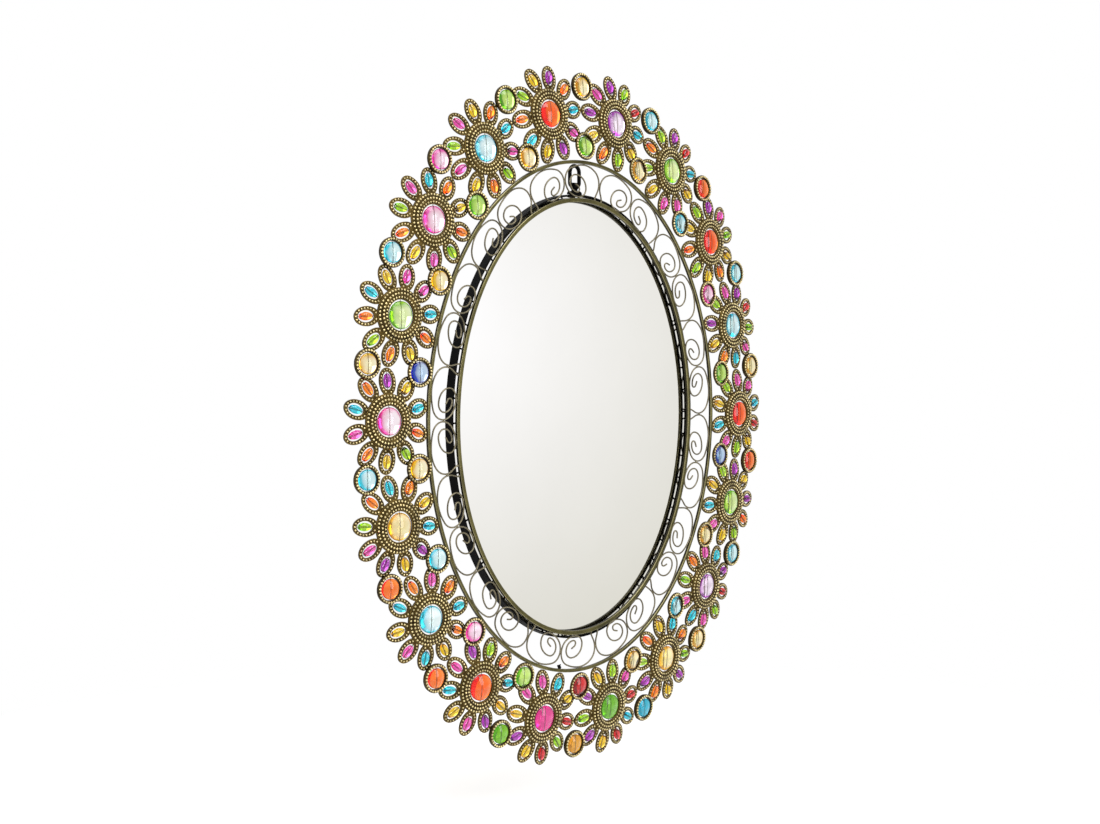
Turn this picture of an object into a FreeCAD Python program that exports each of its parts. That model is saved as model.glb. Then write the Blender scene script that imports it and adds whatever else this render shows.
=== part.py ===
import FreeCAD, Part
import bisect
import math
import os
import Sketcher

# Oval wall mirror in a welded frame: a glass in a steel tray, a front ring carried on short posts,
# a band of spiral wires, an outer ring, and a belt of flowers with threaded beads and stones.
# X runs to the viewer's right, Z up, and Y into the wall; the wall is at Y zero.

V = FreeCAD.Vector
doc = FreeCAD.newDocument("framed_mirror")
sheet = doc.addObject("Spreadsheet::Sheet", "Sizes")

# Driving sizes: millimetres, degrees, counts, and shares where the name says so.
DRIVING = (
    ("opening_half_wide", 192.5), ("opening_half_tall", 246.5),
    ("front_ring_wide", 5), ("front_ring_deep", 4), ("front_ring_round", 1),
    ("ring_lift", 2.5), ("rim_gap", 2.5), ("post_radius", 1), ("post_gap", 0.05), ("post_count", 52),
    ("lip_cover", 0.5), ("lip_thick", 1.5), ("tray_wall", 1.5), ("wall_rise", 0.6), ("seat_gap", 0.3),
    ("glass_thick", 4), ("board_thick", 3),
    ("tab_count", 8), ("tab_wide", 14), ("tab_reach", 10), ("tab_thick", 0.8), ("tab_gap", 0.2),
    ("scroll_band", 39), ("scroll_wire", 1.8), ("scroll_pairs", 13), ("scroll_turn_share", -0.44),
    ("weld_gap", 0.25),
    ("outer_ring_wide", 4), ("outer_ring_deep", 4), ("outer_ring_round", 1),
    ("flower_count", 18), ("petal_count", 10), ("belt_turn_share", 0.05), ("tip_meet_share", 0.998),
    ("belt_lean", 5.3), ("petal_fall", 7.8), ("plate_thick", 1.6),
    ("hub_hole", 16.5), ("hub_radius", 29), ("hub_bulge", 2.2),
    ("petal_half_wide", 10.5), ("petal_root", 2.5), ("petal_band", 4.2),
    ("bead_end_gap", 2.1), ("bead_side_gap", 1.8), ("bead_end_radius", 2),
    ("wire_radius", 0.5), ("bore_gap", 0.2), ("wire_end_gap", 0.2),
    ("gem_gap", 1.75), ("gem_front", 5.5), ("gem_back", 3), ("gem_edge", 1.2),
    ("link_radius", 16.2), ("link_hole", 12.2), ("inner_collar_wall", 1), ("outer_collar_wall", 3.5),
    ("link_rise", 2.4), ("link_flange", 0.9), ("link_bulge", 1.4),
    ("link_out_share", 0.55), ("link_seat_gap", 0.2),
    ("link_gem_gap", 1.15), ("link_gem_front", 4.2), ("link_gem_back", 1.6), ("link_gem_edge", 0.9),
    ("link_gem_lift", 2.7),
    ("hanger_depth", 4), ("hanger_rod", 4.5), ("eye_wide", 11), ("eye_tall", 17), ("eye_bend", 1.5),
    ("barrel_gap", 0.25), ("barrel_wall", 1.4), ("barrel_long", 7.4),
    ("strap_thick", 3), ("tongue_tall", 2), ("foot_wide", 22), ("foot_tall", 4), ("foot_round", 3),
    ("foot_seat_gap", 0.05),
)

# Sizes worked out from the driving ones.
WORKED_OUT = (
    ("front_half_wide", "=opening_half_wide + front_ring_wide"),
    ("front_half_tall", "=opening_half_tall + front_ring_wide"),
    ("post_half_wide", "=opening_half_wide + front_ring_wide / 2"),
    ("post_half_tall", "=opening_half_tall + front_ring_wide / 2"),
    ("post_long", "=front_ring_wide / 2 + rim_gap - post_gap"),
    ("tray_inner_half_wide", "=front_half_wide + rim_gap"),
    ("tray_inner_half_tall", "=front_half_tall + rim_gap"),
    ("tray_half_wide", "=tray_inner_half_wide + tray_wall"),
    ("tray_half_tall", "=tray_inner_half_tall + tray_wall"),
    ("glass_half_wide", "=tray_inner_half_wide - seat_gap"),
    ("glass_half_tall", "=tray_inner_half_tall - seat_gap"),
    ("lip_half_wide", "=glass_half_wide - lip_cover"),
    ("lip_half_tall", "=glass_half_tall - lip_cover"),
    ("lip_depth", "=board_thick + glass_thick"),
    ("front_depth", "=lip_depth + lip_thick + ring_lift"),
    ("post_depth", "=front_depth - post_radius - post_gap"),
    ("tray_deep", "=front_depth + wall_rise"),
    ("ring_mid_depth", "=front_depth + front_ring_deep / 2"),
    ("outer_ring_depth", "=ring_mid_depth - outer_ring_deep / 2"),
    ("scroll_half_wide", "=front_half_wide + scroll_band / 2"),
    ("scroll_half_tall", "=front_half_tall + scroll_band / 2"),
    ("band_half_wide", "=front_half_wide + scroll_band"),
    ("band_half_tall", "=front_half_tall + scroll_band"),
    ("outer_half_wide", "=band_half_wide + outer_ring_wide"),
    ("outer_half_tall", "=band_half_tall + outer_ring_wide"),
    ("outer_girth", "=pi * (3 * (outer_half_wide + outer_half_tall)"
     " - sqrt((3 * outer_half_wide + outer_half_tall) * (outer_half_wide + 3 * outer_half_tall)))"),
    ("petal_turn", "=180 / petal_count"),
    ("tip_radius", "=(outer_girth + 2 * pi * weld_gap)"
     " / (2 * flower_count / tip_meet_share - 2 * pi * cos(petal_turn))"),
    ("tip_drop", "=(tip_radius - hub_hole) * tan(petal_fall)"),
    ("plate_half", "=plate_thick / 2"),
    ("hub_drop", "=(hub_radius - hub_hole) * tan(petal_fall)"),
    ("hub_under", "=hub_drop + plate_half"),
    ("hub_over", "=hub_drop - plate_half"),
    ("hub_slant", "=sqrt((hub_radius - hub_hole) ^ 2 + hub_drop ^ 2)"),
    ("hub_curve", "=hub_slant ^ 2 / (8 * hub_bulge) + hub_bulge / 2"),
    ("petal_lift", "=hub_hole * tan(petal_fall) - plate_half"),
    ("petal_start", "=hub_radius - petal_root"),
    ("petal_end", "=tip_radius / cos(petal_fall)"),
    ("petal_mid", "=(petal_start + petal_end) / 2"),
    ("petal_half_long", "=(petal_end - petal_start) / 2"),
    ("petal_view_long", "=petal_half_long * cos(petal_fall)"),
    ("tip_span", "=sqrt((petal_view_long * cos(petal_turn)) ^ 2 + (petal_half_wide * sin(petal_turn)) ^ 2)"),
    ("tip_reach", "=petal_mid * cos(petal_fall) * cos(petal_turn) + tip_span"),
    ("tip_side", "=petal_mid * cos(petal_fall) * sin(petal_turn)"
     " + (petal_view_long ^ 2 - petal_half_wide ^ 2) * sin(petal_turn) * cos(petal_turn) / tip_span"),
    ("belt_reach", "=(tip_reach + plate_thick * sin(petal_fall)) * cos(belt_lean)"
     " + tip_drop * sin(belt_lean) + weld_gap"),
    ("hub_depth", "=ring_mid_depth + tip_drop - tip_reach * sin(belt_lean)"),
    ("slot_start", "=hub_radius + petal_band"),
    ("slot_end", "=petal_end - petal_band"),
    ("slot_mid", "=(slot_start + slot_end) / 2"),
    ("slot_half_long", "=(slot_end - slot_start) / 2"),
    ("slot_half_wide", "=petal_half_wide - petal_band"),
    ("bore_radius", "=wire_radius + bore_gap"),
    ("bead_half_long", "=slot_half_long - bead_end_gap"),
    ("bead_radius", "=slot_half_wide - bead_side_gap"),
    ("bead_curve", "=bead_half_long ^ 2 / (2 * (bead_radius - bead_end_radius))"
     " + (bead_radius - bead_end_radius) / 2"),
    ("petal_wire_long", "=2 * (slot_half_long - wire_end_gap)"),
    ("gem_radius", "=hub_hole - gem_gap"),
    ("gem_front_curve", "=gem_radius ^ 2 / (2 * (gem_front - gem_edge)) + (gem_front - gem_edge) / 2"),
    ("gem_back_curve", "=gem_radius ^ 2 / (2 * (gem_back - gem_edge)) + (gem_back - gem_edge) / 2"),
    ("hub_wire_long", "=2 * (hub_hole - wire_end_gap)"),
    ("inner_collar", "=link_hole + inner_collar_wall"),
    ("outer_collar", "=link_hole + outer_collar_wall"),
    ("link_edge", "=link_rise + link_flange"),
    ("link_curve", "=(link_radius - link_hole) ^ 2 / (8 * link_bulge) + link_bulge / 2"),
    ("link_gem_radius", "=link_hole - link_gem_gap"),
    ("link_gem_front_curve", "=link_gem_radius ^ 2 / (2 * (link_gem_front - link_gem_edge))"
     " + (link_gem_front - link_gem_edge) / 2"),
    ("link_gem_back_curve", "=link_gem_radius ^ 2 / (2 * (link_gem_back - link_gem_edge))"
     " + (link_gem_back - link_gem_edge) / 2"),
    ("link_wire_long", "=2 * (link_hole - wire_end_gap)"),
    ("rod_radius", "=hanger_rod / 2"),
    ("barrel_bore", "=rod_radius + barrel_gap"),
    ("barrel_radius", "=barrel_bore + barrel_wall"),
    ("eye_half", "=eye_wide / 2 + rod_radius"),
    ("corner_bend", "=eye_bend + rod_radius"),
    ("bar_half", "=eye_half - corner_bend"),
    ("eye_top", "=barrel_radius + eye_tall + rod_radius"),
    ("eye_shoulder", "=eye_top - eye_half"),
    ("tongue_half", "=barrel_long / 2"),
    ("foot_half", "=foot_wide / 2"),
    ("foot_inner", "=foot_half - foot_round"),
    ("foot_top", "=barrel_radius + tongue_tall"),
    ("foot_shoulder", "=foot_top + foot_round"),
    ("foot_base", "=foot_top + foot_tall"),
    ("pivot_height", "=tray_half_tall + foot_seat_gap + foot_base"),
)

for row, (name, value) in enumerate(DRIVING + WORKED_OUT, start=1):
    sheet.set("A%d" % row, name)
    sheet.set("B%d" % row, str(value))
    sheet.setAlias("B%d" % row, name)
doc.recompute()


def size(name):
    """Value of one named size."""
    return float(getattr(sheet, name))


def bound(name):
    """Expression that refers to one named size."""
    return "Sizes." + name


# Colours of the stones and beads, one letter each.
COLOURS = {"y": "yellow", "o": "orange", "r": "red", "k": "pink", "v": "purple", "g": "green",
           "c": "cyan", "b": "blue"}

# Ten beads of each flower, clockwise from the petal just clockwise of straight outward;
# the flowers follow clockwise from the one left of the top.
PETAL_COLOURS = (
    "vockvycogy", "grcygoyvkv", "rcykkygogv", "gyoygoygvk", "gkcoyvgkvr", "rygkcygkkc",
    "ogykcygvyv", "gkckgokcvr", "yovgoycogv", "yvgvygkrcr", "yvykkcyrgr", "yckvgocyvk",
    "ycokocoyck", "gocoycvyvk", "covycogyok", "cykkcoyogo", "kcoyogkyog", "yockgoykgk",
)
HUB_COLOURS = "ovgocogvygkocykgkc"
# The link after each flower, in the same order.
OUTER_LINK_COLOURS = "ycocyocycygoocyckg"
INNER_LINK_COLOURS = "gyckgbycyrgkcybygy"

# Spiral of one wire inside its cell: shares of the cell's length, from its start to where the pair closes,
# and of its width, from the front ring to the outer ring, with the heading in degrees at each point.
SCROLL_SHARES = (
    (0.10, 0.00, 108), (0.00, 0.44, 90), (0.46, 1.00, 0), (1.00, 0.50, -90), (0.60, 0.00, 180),
    (0.385, 0.26, 90), (0.70, 0.69, 0), (0.86, 0.45, -90), (0.65, 0.15, 180), (0.585, 0.235, 90),
    (0.70, 0.40, 30),
)

GIRTH_STEPS = 3600
outputs = []


def keep(item, label):
    """Names a finished piece and lists it for writing."""
    item.Label = label
    outputs.append(item)
    return item


def new_body(name):
    """New body for one piece."""
    return doc.addObject("PartDesign::Body", name)


def new_sketch(body, name, role, lift=None):
    """Sketch on an origin plane of its body, raised off it by a named size."""
    sketch = body.newObject("Sketcher::SketchObject", name)
    support = next(item for item in body.Origin.OriginFeatures if item.Role == role)
    sketch.AttachmentSupport = (support, [""])
    sketch.MapMode = "FlatFace"
    if lift:
        sketch.setExpression("AttachmentOffset.Base.z", bound(lift))
    return sketch


def named(sketch, constraint, name, factor=""):
    """Adds a constraint whose value is a named size."""
    index = sketch.addConstraint(constraint)
    sketch.setExpression("Constraints[%d]" % index, factor + bound(name))


def tie(sketch, side, vertex, across, up):
    """Ties a vertex to two named sizes; a minus sign mirrors one, and "0" is on the axis."""
    for kind, axis, name in (("DistanceX", -2, across), ("DistanceY", -1, up)):
        if name == "0":
            sketch.addConstraint(Sketcher.Constraint("PointOnObject", side, vertex, axis))
        elif name.startswith("-"):
            mirrored = name[1:]
            named(sketch, Sketcher.Constraint(kind, side, vertex, -1, 1, size(mirrored)), mirrored)
        else:
            named(sketch, Sketcher.Constraint(kind, -1, 1, side, vertex, size(name)), name)


def place(name):
    """Number for a name as tie reads it."""
    if name == "0":
        return 0
    return -size(name[1:]) if name.startswith("-") else size(name)


def outline(sketch, corners, arcs=None):
    """Closed outline through named corners; arcs gives a side its radius and the way it turns."""
    arcs = arcs or {}
    points = [V(place(across), place(up), 0) for across, up in corners]
    sides = []
    for index, start in enumerate(points):
        end = points[(index + 1) % len(points)]
        if index not in arcs:
            sides.append((sketch.addGeometry(Part.LineSegment(start, end), False), 1, 2))
            continue
        radius_name, turn = arcs[index]
        radius = size(radius_name)
        chord = end - start
        left = V(-chord.y, chord.x, 0).normalize()
        rise = math.sqrt(max(radius ** 2 - chord.Length ** 2 / 4, 0))
        centre = (start + end) / 2 + left * (rise if turn == "left" else -rise)
        first, last = (start, end) if turn == "left" else (end, start)
        begin = math.atan2(first.y - centre.y, first.x - centre.x)
        finish = math.atan2(last.y - centre.y, last.x - centre.x)
        if finish < begin:
            finish += 2 * math.pi
        arc = Part.ArcOfCircle(Part.Circle(centre, V(0, 0, 1), radius), begin, finish)
        side = sketch.addGeometry(arc, False)
        sides.append((side, 1, 2) if turn == "left" else (side, 2, 1))
    for index, (side, begin, finish) in enumerate(sides):
        before, unused, ending = sides[index - 1]
        sketch.addConstraint(Sketcher.Constraint("Coincident", before, ending, side, begin))
        tie(sketch, side, begin, *corners[index])
        if index in arcs:
            name = arcs[index][0]
            named(sketch, Sketcher.Constraint("Radius", side, size(name)), name)


def oval(sketch, half_across, half_up, middle="0"):
    """Oval with named half axes, centred on the sketch's X axis."""
    centre = V(place(middle), 0, 0)
    across = V(size(half_across), 0, 0)
    up = V(0, size(half_up), 0)
    tall = up.Length > across.Length
    long_axis, short_axis = (up, across) if tall else (across, up)
    side = sketch.addGeometry(Part.Ellipse(centre + long_axis, centre + short_axis, centre), False)
    sketch.exposeInternalGeometry(side)
    tie(sketch, side, 3, middle, "0")
    long_name, short_name = (half_up, half_across) if tall else (half_across, half_up)
    named(sketch, Sketcher.Constraint("Distance", side + 1, 2 * size(long_name)), long_name, "2 * ")
    named(sketch, Sketcher.Constraint("Distance", side + 2, 2 * size(short_name)), short_name, "2 * ")
    sketch.addConstraint(Sketcher.Constraint("Vertical" if tall else "Horizontal", side + 1))


def circle(sketch, radius):
    """Circle of a named radius round the sketch's origin."""
    side = sketch.addGeometry(Part.Circle(V(0, 0, 0), V(0, 0, 1), size(radius)), False)
    sketch.addConstraint(Sketcher.Constraint("Coincident", side, 3, -1, 1))
    named(sketch, Sketcher.Constraint("Radius", side, size(radius)), radius)


def pad(body, sketch, length, symmetric=False):
    """Pad of a sketch by a named length."""
    feature = body.newObject("PartDesign::Pad", sketch.Name + "_pad")
    feature.Profile = sketch
    feature.setExpression("Length", bound(length))
    if symmetric:
        feature.SideType = "Symmetric"
    return feature


def cut_through(body, sketch):
    """Pocket of a sketch through the whole body, both ways; it has to take material away."""
    doc.recompute()
    before = body.Shape.Volume
    feature = body.newObject("PartDesign::Pocket", sketch.Name + "_cut")
    feature.Profile = sketch
    feature.Type = "ThroughAll"
    feature.SideType = "Symmetric"
    doc.recompute()
    if not body.Shape.Volume < before:
        raise RuntimeError(sketch.Name + " cuts nothing")
    return feature


def turned(body, sketch):
    """Full turn of a sketch about its upright axis."""
    feature = body.newObject("PartDesign::Revolution", sketch.Name + "_turn")
    feature.Profile = sketch
    feature.ReferenceAxis = (sketch, ["V_Axis"])
    return feature


def turned_in_quarters(body, sketch):
    """Full turn of a sketch in four quarters, so that a small round piece keeps a fine surface."""
    quarter = turned(body, sketch)
    quarter.Angle = 90
    quarter.Refine = False
    doc.recompute()
    whole = body.newObject("PartDesign::PolarPattern", sketch.Name + "_quarters")
    whole.Originals = [quarter]
    whole.Axis = (sketch, ["V_Axis"])
    whole.Occurrences = 4
    whole.Refine = False
    body.Tip = whole


def oval_ring(body, name, inner, outer, depth, length):
    """Flat oval ring between two named ovals, at a named depth off the wall."""
    sketch = new_sketch(body, name, "XZ_Plane", depth)
    oval(sketch, inner + "_half_wide", inner + "_half_tall")
    oval(sketch, outer + "_half_wide", outer + "_half_tall")
    return pad(body, sketch, length)


def round_edges(body, feature, radius):
    """Rounds the curved edges of a ring."""
    doc.recompute()
    edges = feature.Shape.Edges
    names = ["Edge%d" % (i + 1) for i, edge in enumerate(edges) if not isinstance(edge.Curve, Part.Line)]
    fillet = body.newObject("PartDesign::Fillet", feature.Name + "_round")
    fillet.Base = (feature, names)
    fillet.setExpression("Radius", bound(radius))


def group(label, master, placements):
    """One named group of like solids, placed copies of a master piece."""
    doc.recompute()
    solids = []
    for placement in placements:
        solid = master.Shape.copy()
        solid.Placement = placement.multiply(solid.Placement)
        solids.append(solid)
    made = doc.addObject("Part::Feature", label)
    made.Shape = Part.makeCompound(solids) if len(solids) > 1 else solids[0]
    return keep(made, label)


class Oval:
    """Oval walked by shares of its girth, clockwise from the top as the viewer sees it."""

    def __init__(self, stem, stand_off=0, foot=0):
        self.half_wide = size(stem + "_half_wide")
        self.half_tall = size(stem + "_half_tall")
        self.stand_off = stand_off
        self.foot = foot
        self.angles = [2 * math.pi * i / GIRTH_STEPS for i in range(GIRTH_STEPS + 1)]
        self.lengths = [0]
        for first, second in zip(self.angles, self.angles[1:]):
            step = self.path(second) - self.path(first)
            self.lengths.append(self.lengths[-1] + step.Length)
        self.girth = self.lengths[-1]

    def point(self, angle, grow=0):
        """Point at an angle, on the oval grown by a length."""
        across = (self.half_wide + grow) * math.sin(angle)
        up = (self.half_tall + grow) * math.cos(angle)
        return V(across, 0, up)

    def outward(self, angle):
        """Direction square to the oval."""
        return V(math.sin(angle) / self.half_wide, 0, math.cos(angle) / self.half_tall).normalize()

    def path(self, angle):
        """Point that stands off the oval on two feet, a foot's length to each side of it."""
        speed = math.hypot(self.half_wide * math.cos(angle), self.half_tall * math.sin(angle))
        bend = speed ** 3 / (self.half_wide * self.half_tall)
        return self.point(angle) + self.outward(angle) * (self.stand_off - self.foot ** 2 / (2 * bend))

    def angle(self, share):
        """Angle at a share of the girth."""
        length = (share % 1) * self.girth
        index = min(max(bisect.bisect_right(self.lengths, length), 1), GIRTH_STEPS)
        span = self.lengths[index] - self.lengths[index - 1]
        part = (length - self.lengths[index - 1]) / span
        return self.angles[index - 1] + part * (self.angles[index] - self.angles[index - 1])


def upright(centre, outward, depth):
    """Placement at a depth off the wall: local X outward, local Z toward the viewer."""
    front = V(0, -1, 0)
    rotation = FreeCAD.Rotation(outward, front.cross(outward), front, "ZXY")
    return FreeCAD.Placement(centre + front * depth, rotation)


def mirror_glass():
    """Flat oval glass behind the lip of the tray."""
    body = new_body("glass")
    sketch = new_sketch(body, "glass_oval", "XZ_Plane", "board_thick")
    oval(sketch, "glass_half_wide", "glass_half_tall")
    pad(body, sketch, "glass_thick")
    keep(body, "mirror_glass")


def rim_tray():
    """Steel ring with a wall round the glass and a narrow lip in front of its edge."""
    body = new_body("tray")
    wall = new_sketch(body, "tray_wall_oval", "XZ_Plane")
    oval(wall, "tray_inner_half_wide", "tray_inner_half_tall")
    oval(wall, "tray_half_wide", "tray_half_tall")
    pad(body, wall, "tray_deep")
    oval_ring(body, "tray_lip_oval", "lip", "tray", "lip_depth", "lip_thick")
    keep(body, "rim_tray")


def board_and_tabs():
    """Backing board, and the tabs folded over it into notches so that nothing stands proud of its back."""
    rim = Oval("tray_inner")
    count = int(size("tab_count"))
    spots = [rim.angle((i + 0.5) / count) for i in range(count)]
    tab = doc.addObject("Part::Box", "tab")
    for target, name in (("Length", "tab_reach"), ("Width", "tab_wide"), ("Height", "tab_thick")):
        tab.setExpression(target, bound(name))
    notch = doc.addObject("Part::Box", "notch")
    for target, name in (("Length", "tab_reach"), ("Width", "tab_wide"), ("Height", "tab_thick")):
        notch.setExpression(target, "%s + 2 * %s" % (bound(name), bound("tab_gap")))
    tabs = []
    notches = []
    for angle in spots:
        outward = rim.outward(angle)
        edge = upright(rim.point(angle), outward, 0)
        sag = size("tab_wide") ** 2 / (8 * min(size("tray_inner_half_wide"), size("tray_inner_half_tall")))
        tab_corner = V(-size("tab_reach") - size("tab_gap") - sag, -size("tab_wide") / 2, size("tab_gap"))
        notch_corner = tab_corner - V(size("tab_gap"), size("tab_gap"), 2 * size("tab_gap"))
        tabs.append(edge.multiply(FreeCAD.Placement(tab_corner, FreeCAD.Rotation())))
        notches.append(edge.multiply(FreeCAD.Placement(notch_corner, FreeCAD.Rotation())))
    group("backing_tabs", tab, tabs)
    blank = new_body("board_blank")
    sketch = new_sketch(blank, "board_oval", "XZ_Plane")
    oval(sketch, "glass_half_wide", "glass_half_tall")
    pad(blank, sketch, "board_thick")
    doc.recompute()
    cutters = doc.addObject("Part::Feature", "notch_cutters")
    copies = []
    for spot in notches:
        copy = notch.Shape.copy()
        copy.Placement = spot
        copies.append(copy)
    cutters.Shape = Part.makeCompound(copies)
    board = doc.addObject("Part::Cut", "board")
    board.Base = blank
    board.Tool = cutters
    keep(board, "backing_board")


def front_ring_and_posts():
    """Front ring over the glass, and the posts that reach from the tray's wall to its back."""
    body = new_body("front_bar")
    ring = oval_ring(body, "front_oval", "opening", "front", "front_depth", "front_ring_deep")
    round_edges(body, ring, "front_ring_round")
    keep(body, "front_ring")
    post = doc.addObject("Part::Cylinder", "post")
    post.setExpression("Radius", bound("post_radius"))
    post.setExpression("Height", bound("post_long"))
    line = Oval("post")
    count = int(size("post_count"))
    angles = [line.angle(i / count) for i in range(count)]
    level = FreeCAD.Placement(V(0, 0, 0), FreeCAD.Rotation(V(0, 1, 0), 90))
    spots = [upright(line.point(angle), line.outward(angle), size("post_depth")) for angle in angles]
    group("rim_posts", post, [spot.multiply(level) for spot in spots])


def outer_ring():
    """Ring between the spirals and the flowers."""
    body = new_body("outer_bar")
    ring = oval_ring(body, "outer_oval", "band", "outer", "outer_ring_depth", "outer_ring_deep")
    round_edges(body, ring, "outer_ring_round")
    keep(body, "outer_ring")


def tangent_arc(start, heading, end):
    """Arc from a point along a heading to an end point, all in the plane of the spirals."""
    side = heading.cross(V(0, 1, 0))
    chord = end - start
    centre = start + side * (chord.dot(chord) / (2 * side.dot(chord)))
    radius = (start - centre).Length
    middle = centre + ((start + end) / 2 - centre).normalize() * radius
    return Part.Arc(start, middle, end).toShape()


def two_arcs(start, leaving, end, arriving):
    """Two tangent arcs between two points with given headings."""
    chord = end - start
    both = leaving + arriving
    spread = 2 * (1 - leaving.dot(arriving))
    along = chord.dot(both)
    reach = (math.sqrt(along ** 2 + spread * chord.dot(chord)) - along) / spread
    joint = (start + end + (leaving - arriving) * reach) / 2
    second = tangent_arc(end, arriving * -1, joint)
    return [tangent_arc(start, leaving, joint), second]


def scroll_wires():
    """Spirals in mirrored pairs, each touching both rings and both of its neighbours."""
    rim = Oval("front")
    middle = Oval("scroll")
    band = size("scroll_band")
    radius = size("scroll_wire") / 2
    pairs = int(size("scroll_pairs"))
    cells = 2 * pairs
    inset_along = (radius + size("weld_gap") / 2) * cells / middle.girth
    inset_across = (radius + size("weld_gap")) / band

    def spot(cell, across):
        angle = middle.angle(cell / cells)
        grow = band * (inset_across + across * (1 - 2 * inset_across))
        here = rim.point(angle, grow)
        along = V((rim.half_wide + grow) * math.cos(angle), 0, -(rim.half_tall + grow) * math.sin(angle))
        return here, along.normalize(), rim.outward(angle)

    for label, way in (("scroll_wires_left", 1), ("scroll_wires_right", -1)):
        solids = []
        for pair in range(pairs):
            closed = 2 * pair + size("scroll_turn_share")
            stations = []
            for along_share, across_share, heading in SCROLL_SHARES:
                inside = inset_along + along_share * (1 - 2 * inset_along)
                here, along, outward = spot(closed + way * (inside - 1), across_share)
                turn = math.radians(heading)
                direction = along * (way * math.cos(turn)) + outward * math.sin(turn)
                stations.append((here, direction.normalize()))
            edges = []
            for (start, leaving), (end, arriving) in zip(stations, stations[1:]):
                edges.extend(two_arcs(start, leaving, end, arriving))
            path = Part.Wire(Part.__sortEdges__(edges))
            section = Part.Wire([Part.makeCircle(radius, stations[0][0], stations[0][1])])
            solids.append(path.makePipeShell([section], True, False))
        made = doc.addObject("Part::Feature", label)
        made.Shape = Part.makeCompound(solids)
        made.Placement = FreeCAD.Placement(V(0, -size("ring_mid_depth"), 0), FreeCAD.Rotation())
        keep(made, label)


def flower_master():
    """One flower: a domed hub with a round hole, and petal loops that fall away from it."""
    body = new_body("flower")
    hub = new_sketch(body, "hub_section", "XZ_Plane")
    outline(hub, (("hub_hole", "-plate_half"), ("hub_radius", "-hub_under"), ("hub_radius", "-hub_over"),
                  ("hub_hole", "plate_half")), {2: ("hub_curve", "left")})
    turned(body, hub)
    petal = new_sketch(body, "petal_loop", "XY_Plane", "petal_lift")
    petal.AttachmentOffset = FreeCAD.Placement(V(0, 0, 0), FreeCAD.Rotation(V(0, 1, 0), size("petal_fall")))
    petal.setExpression("AttachmentOffset.Rotation.Angle", bound("petal_fall"))
    oval(petal, "petal_half_long", "petal_half_wide", "petal_mid")
    oval(petal, "slot_half_long", "slot_half_wide", "slot_mid")
    loop = pad(body, petal, "plate_thick")
    doc.recompute()
    petals = body.newObject("PartDesign::PolarPattern", "petals")
    petals.Originals = [loop]
    petals.Axis = (hub, ["V_Axis"])
    petals.setExpression("Occurrences", bound("petal_count"))
    body.Tip = petals
    return body


def bead_master():
    """Rice-shaped bead, bored from end to end along its axis."""
    body = new_body("bead")
    section = new_sketch(body, "bead_section", "XZ_Plane")
    outline(section, (("bore_radius", "-bead_half_long"), ("bead_end_radius", "-bead_half_long"),
                      ("bead_end_radius", "bead_half_long"), ("bore_radius", "bead_half_long")),
            {1: ("bead_curve", "left")})
    turned_in_quarters(body, section)
    return body


def stone_master(stem):
    """Round stone with a high front and a low back, bored across."""
    body = new_body(stem + "_stone")
    section = new_sketch(body, stem + "_section", "XZ_Plane")
    outline(section, (("0", "-" + stem + "_back"), (stem + "_radius", "-" + stem + "_edge"),
                      (stem + "_radius", stem + "_edge"), ("0", stem + "_front")),
            {0: (stem + "_back_curve", "left"), 2: (stem + "_front_curve", "left")})
    turned(body, section)
    bore = new_sketch(body, stem + "_bore", "YZ_Plane")
    circle(bore, "bore_radius")
    cut_through(body, bore)
    return body


def bezel_master(side):
    """Link bezel: a short collar that stands on the petals, and a rounded flange clear of their beads."""
    body = new_body(side + "_bezel")
    section = new_sketch(body, side + "_bezel_section", "XZ_Plane")
    outline(section, (("link_hole", "0"), (side + "_collar", "0"), (side + "_collar", "link_rise"),
                      ("link_radius", "link_rise"), ("link_radius", "link_edge"),
                      ("link_hole", "link_edge")), {4: ("link_curve", "left")})
    turned(body, section)
    return body


def wire_master(name, length):
    """Straight wire of a named length."""
    wire = doc.addObject("Part::Cylinder", name)
    wire.setExpression("Radius", bound("wire_radius"))
    wire.setExpression("Height", bound(length))
    return wire


def belt_frame(belt, share):
    """Placement on the belt: local X outward and leaning back, local Z toward the viewer."""
    angle = belt.angle(share)
    flat = upright(belt.path(angle), belt.outward(angle), size("hub_depth"))
    lean = FreeCAD.Placement(V(0, 0, 0), FreeCAD.Rotation(V(0, 1, 0), size("belt_lean")))
    return flat.multiply(lean)


def hung(frame):
    """The same place turned in its own plane so that local X points up."""
    up = frame.Rotation.inverted().multVec(V(0, 0, 1))
    turn = math.degrees(math.atan2(up.y, up.x))
    return frame.multiply(FreeCAD.Placement(V(0, 0, 0), FreeCAD.Rotation(V(0, 0, 1), turn)))


def across(length):
    """Lays a wire of a named length along local X, centred."""
    return FreeCAD.Placement(V(-size(length) / 2, 0, 0), FreeCAD.Rotation(V(0, 1, 0), 90))


def along_petal(index):
    """Placement at the middle of a petal's slot, local X along the petal, counted clockwise."""
    pitch = 360 / size("petal_count")
    spin = FreeCAD.Rotation(V(0, 0, 1), -pitch * (index + 0.5))
    fall = FreeCAD.Rotation(V(0, 1, 0), size("petal_fall"))
    reach = fall.multVec(V(size("slot_mid"), 0, 0))
    lift = V(0, 0, size("hub_hole") * math.tan(math.radians(size("petal_fall"))))
    return FreeCAD.Placement(V(0, 0, 0), spin).multiply(FreeCAD.Placement(reach + lift, fall))


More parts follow.
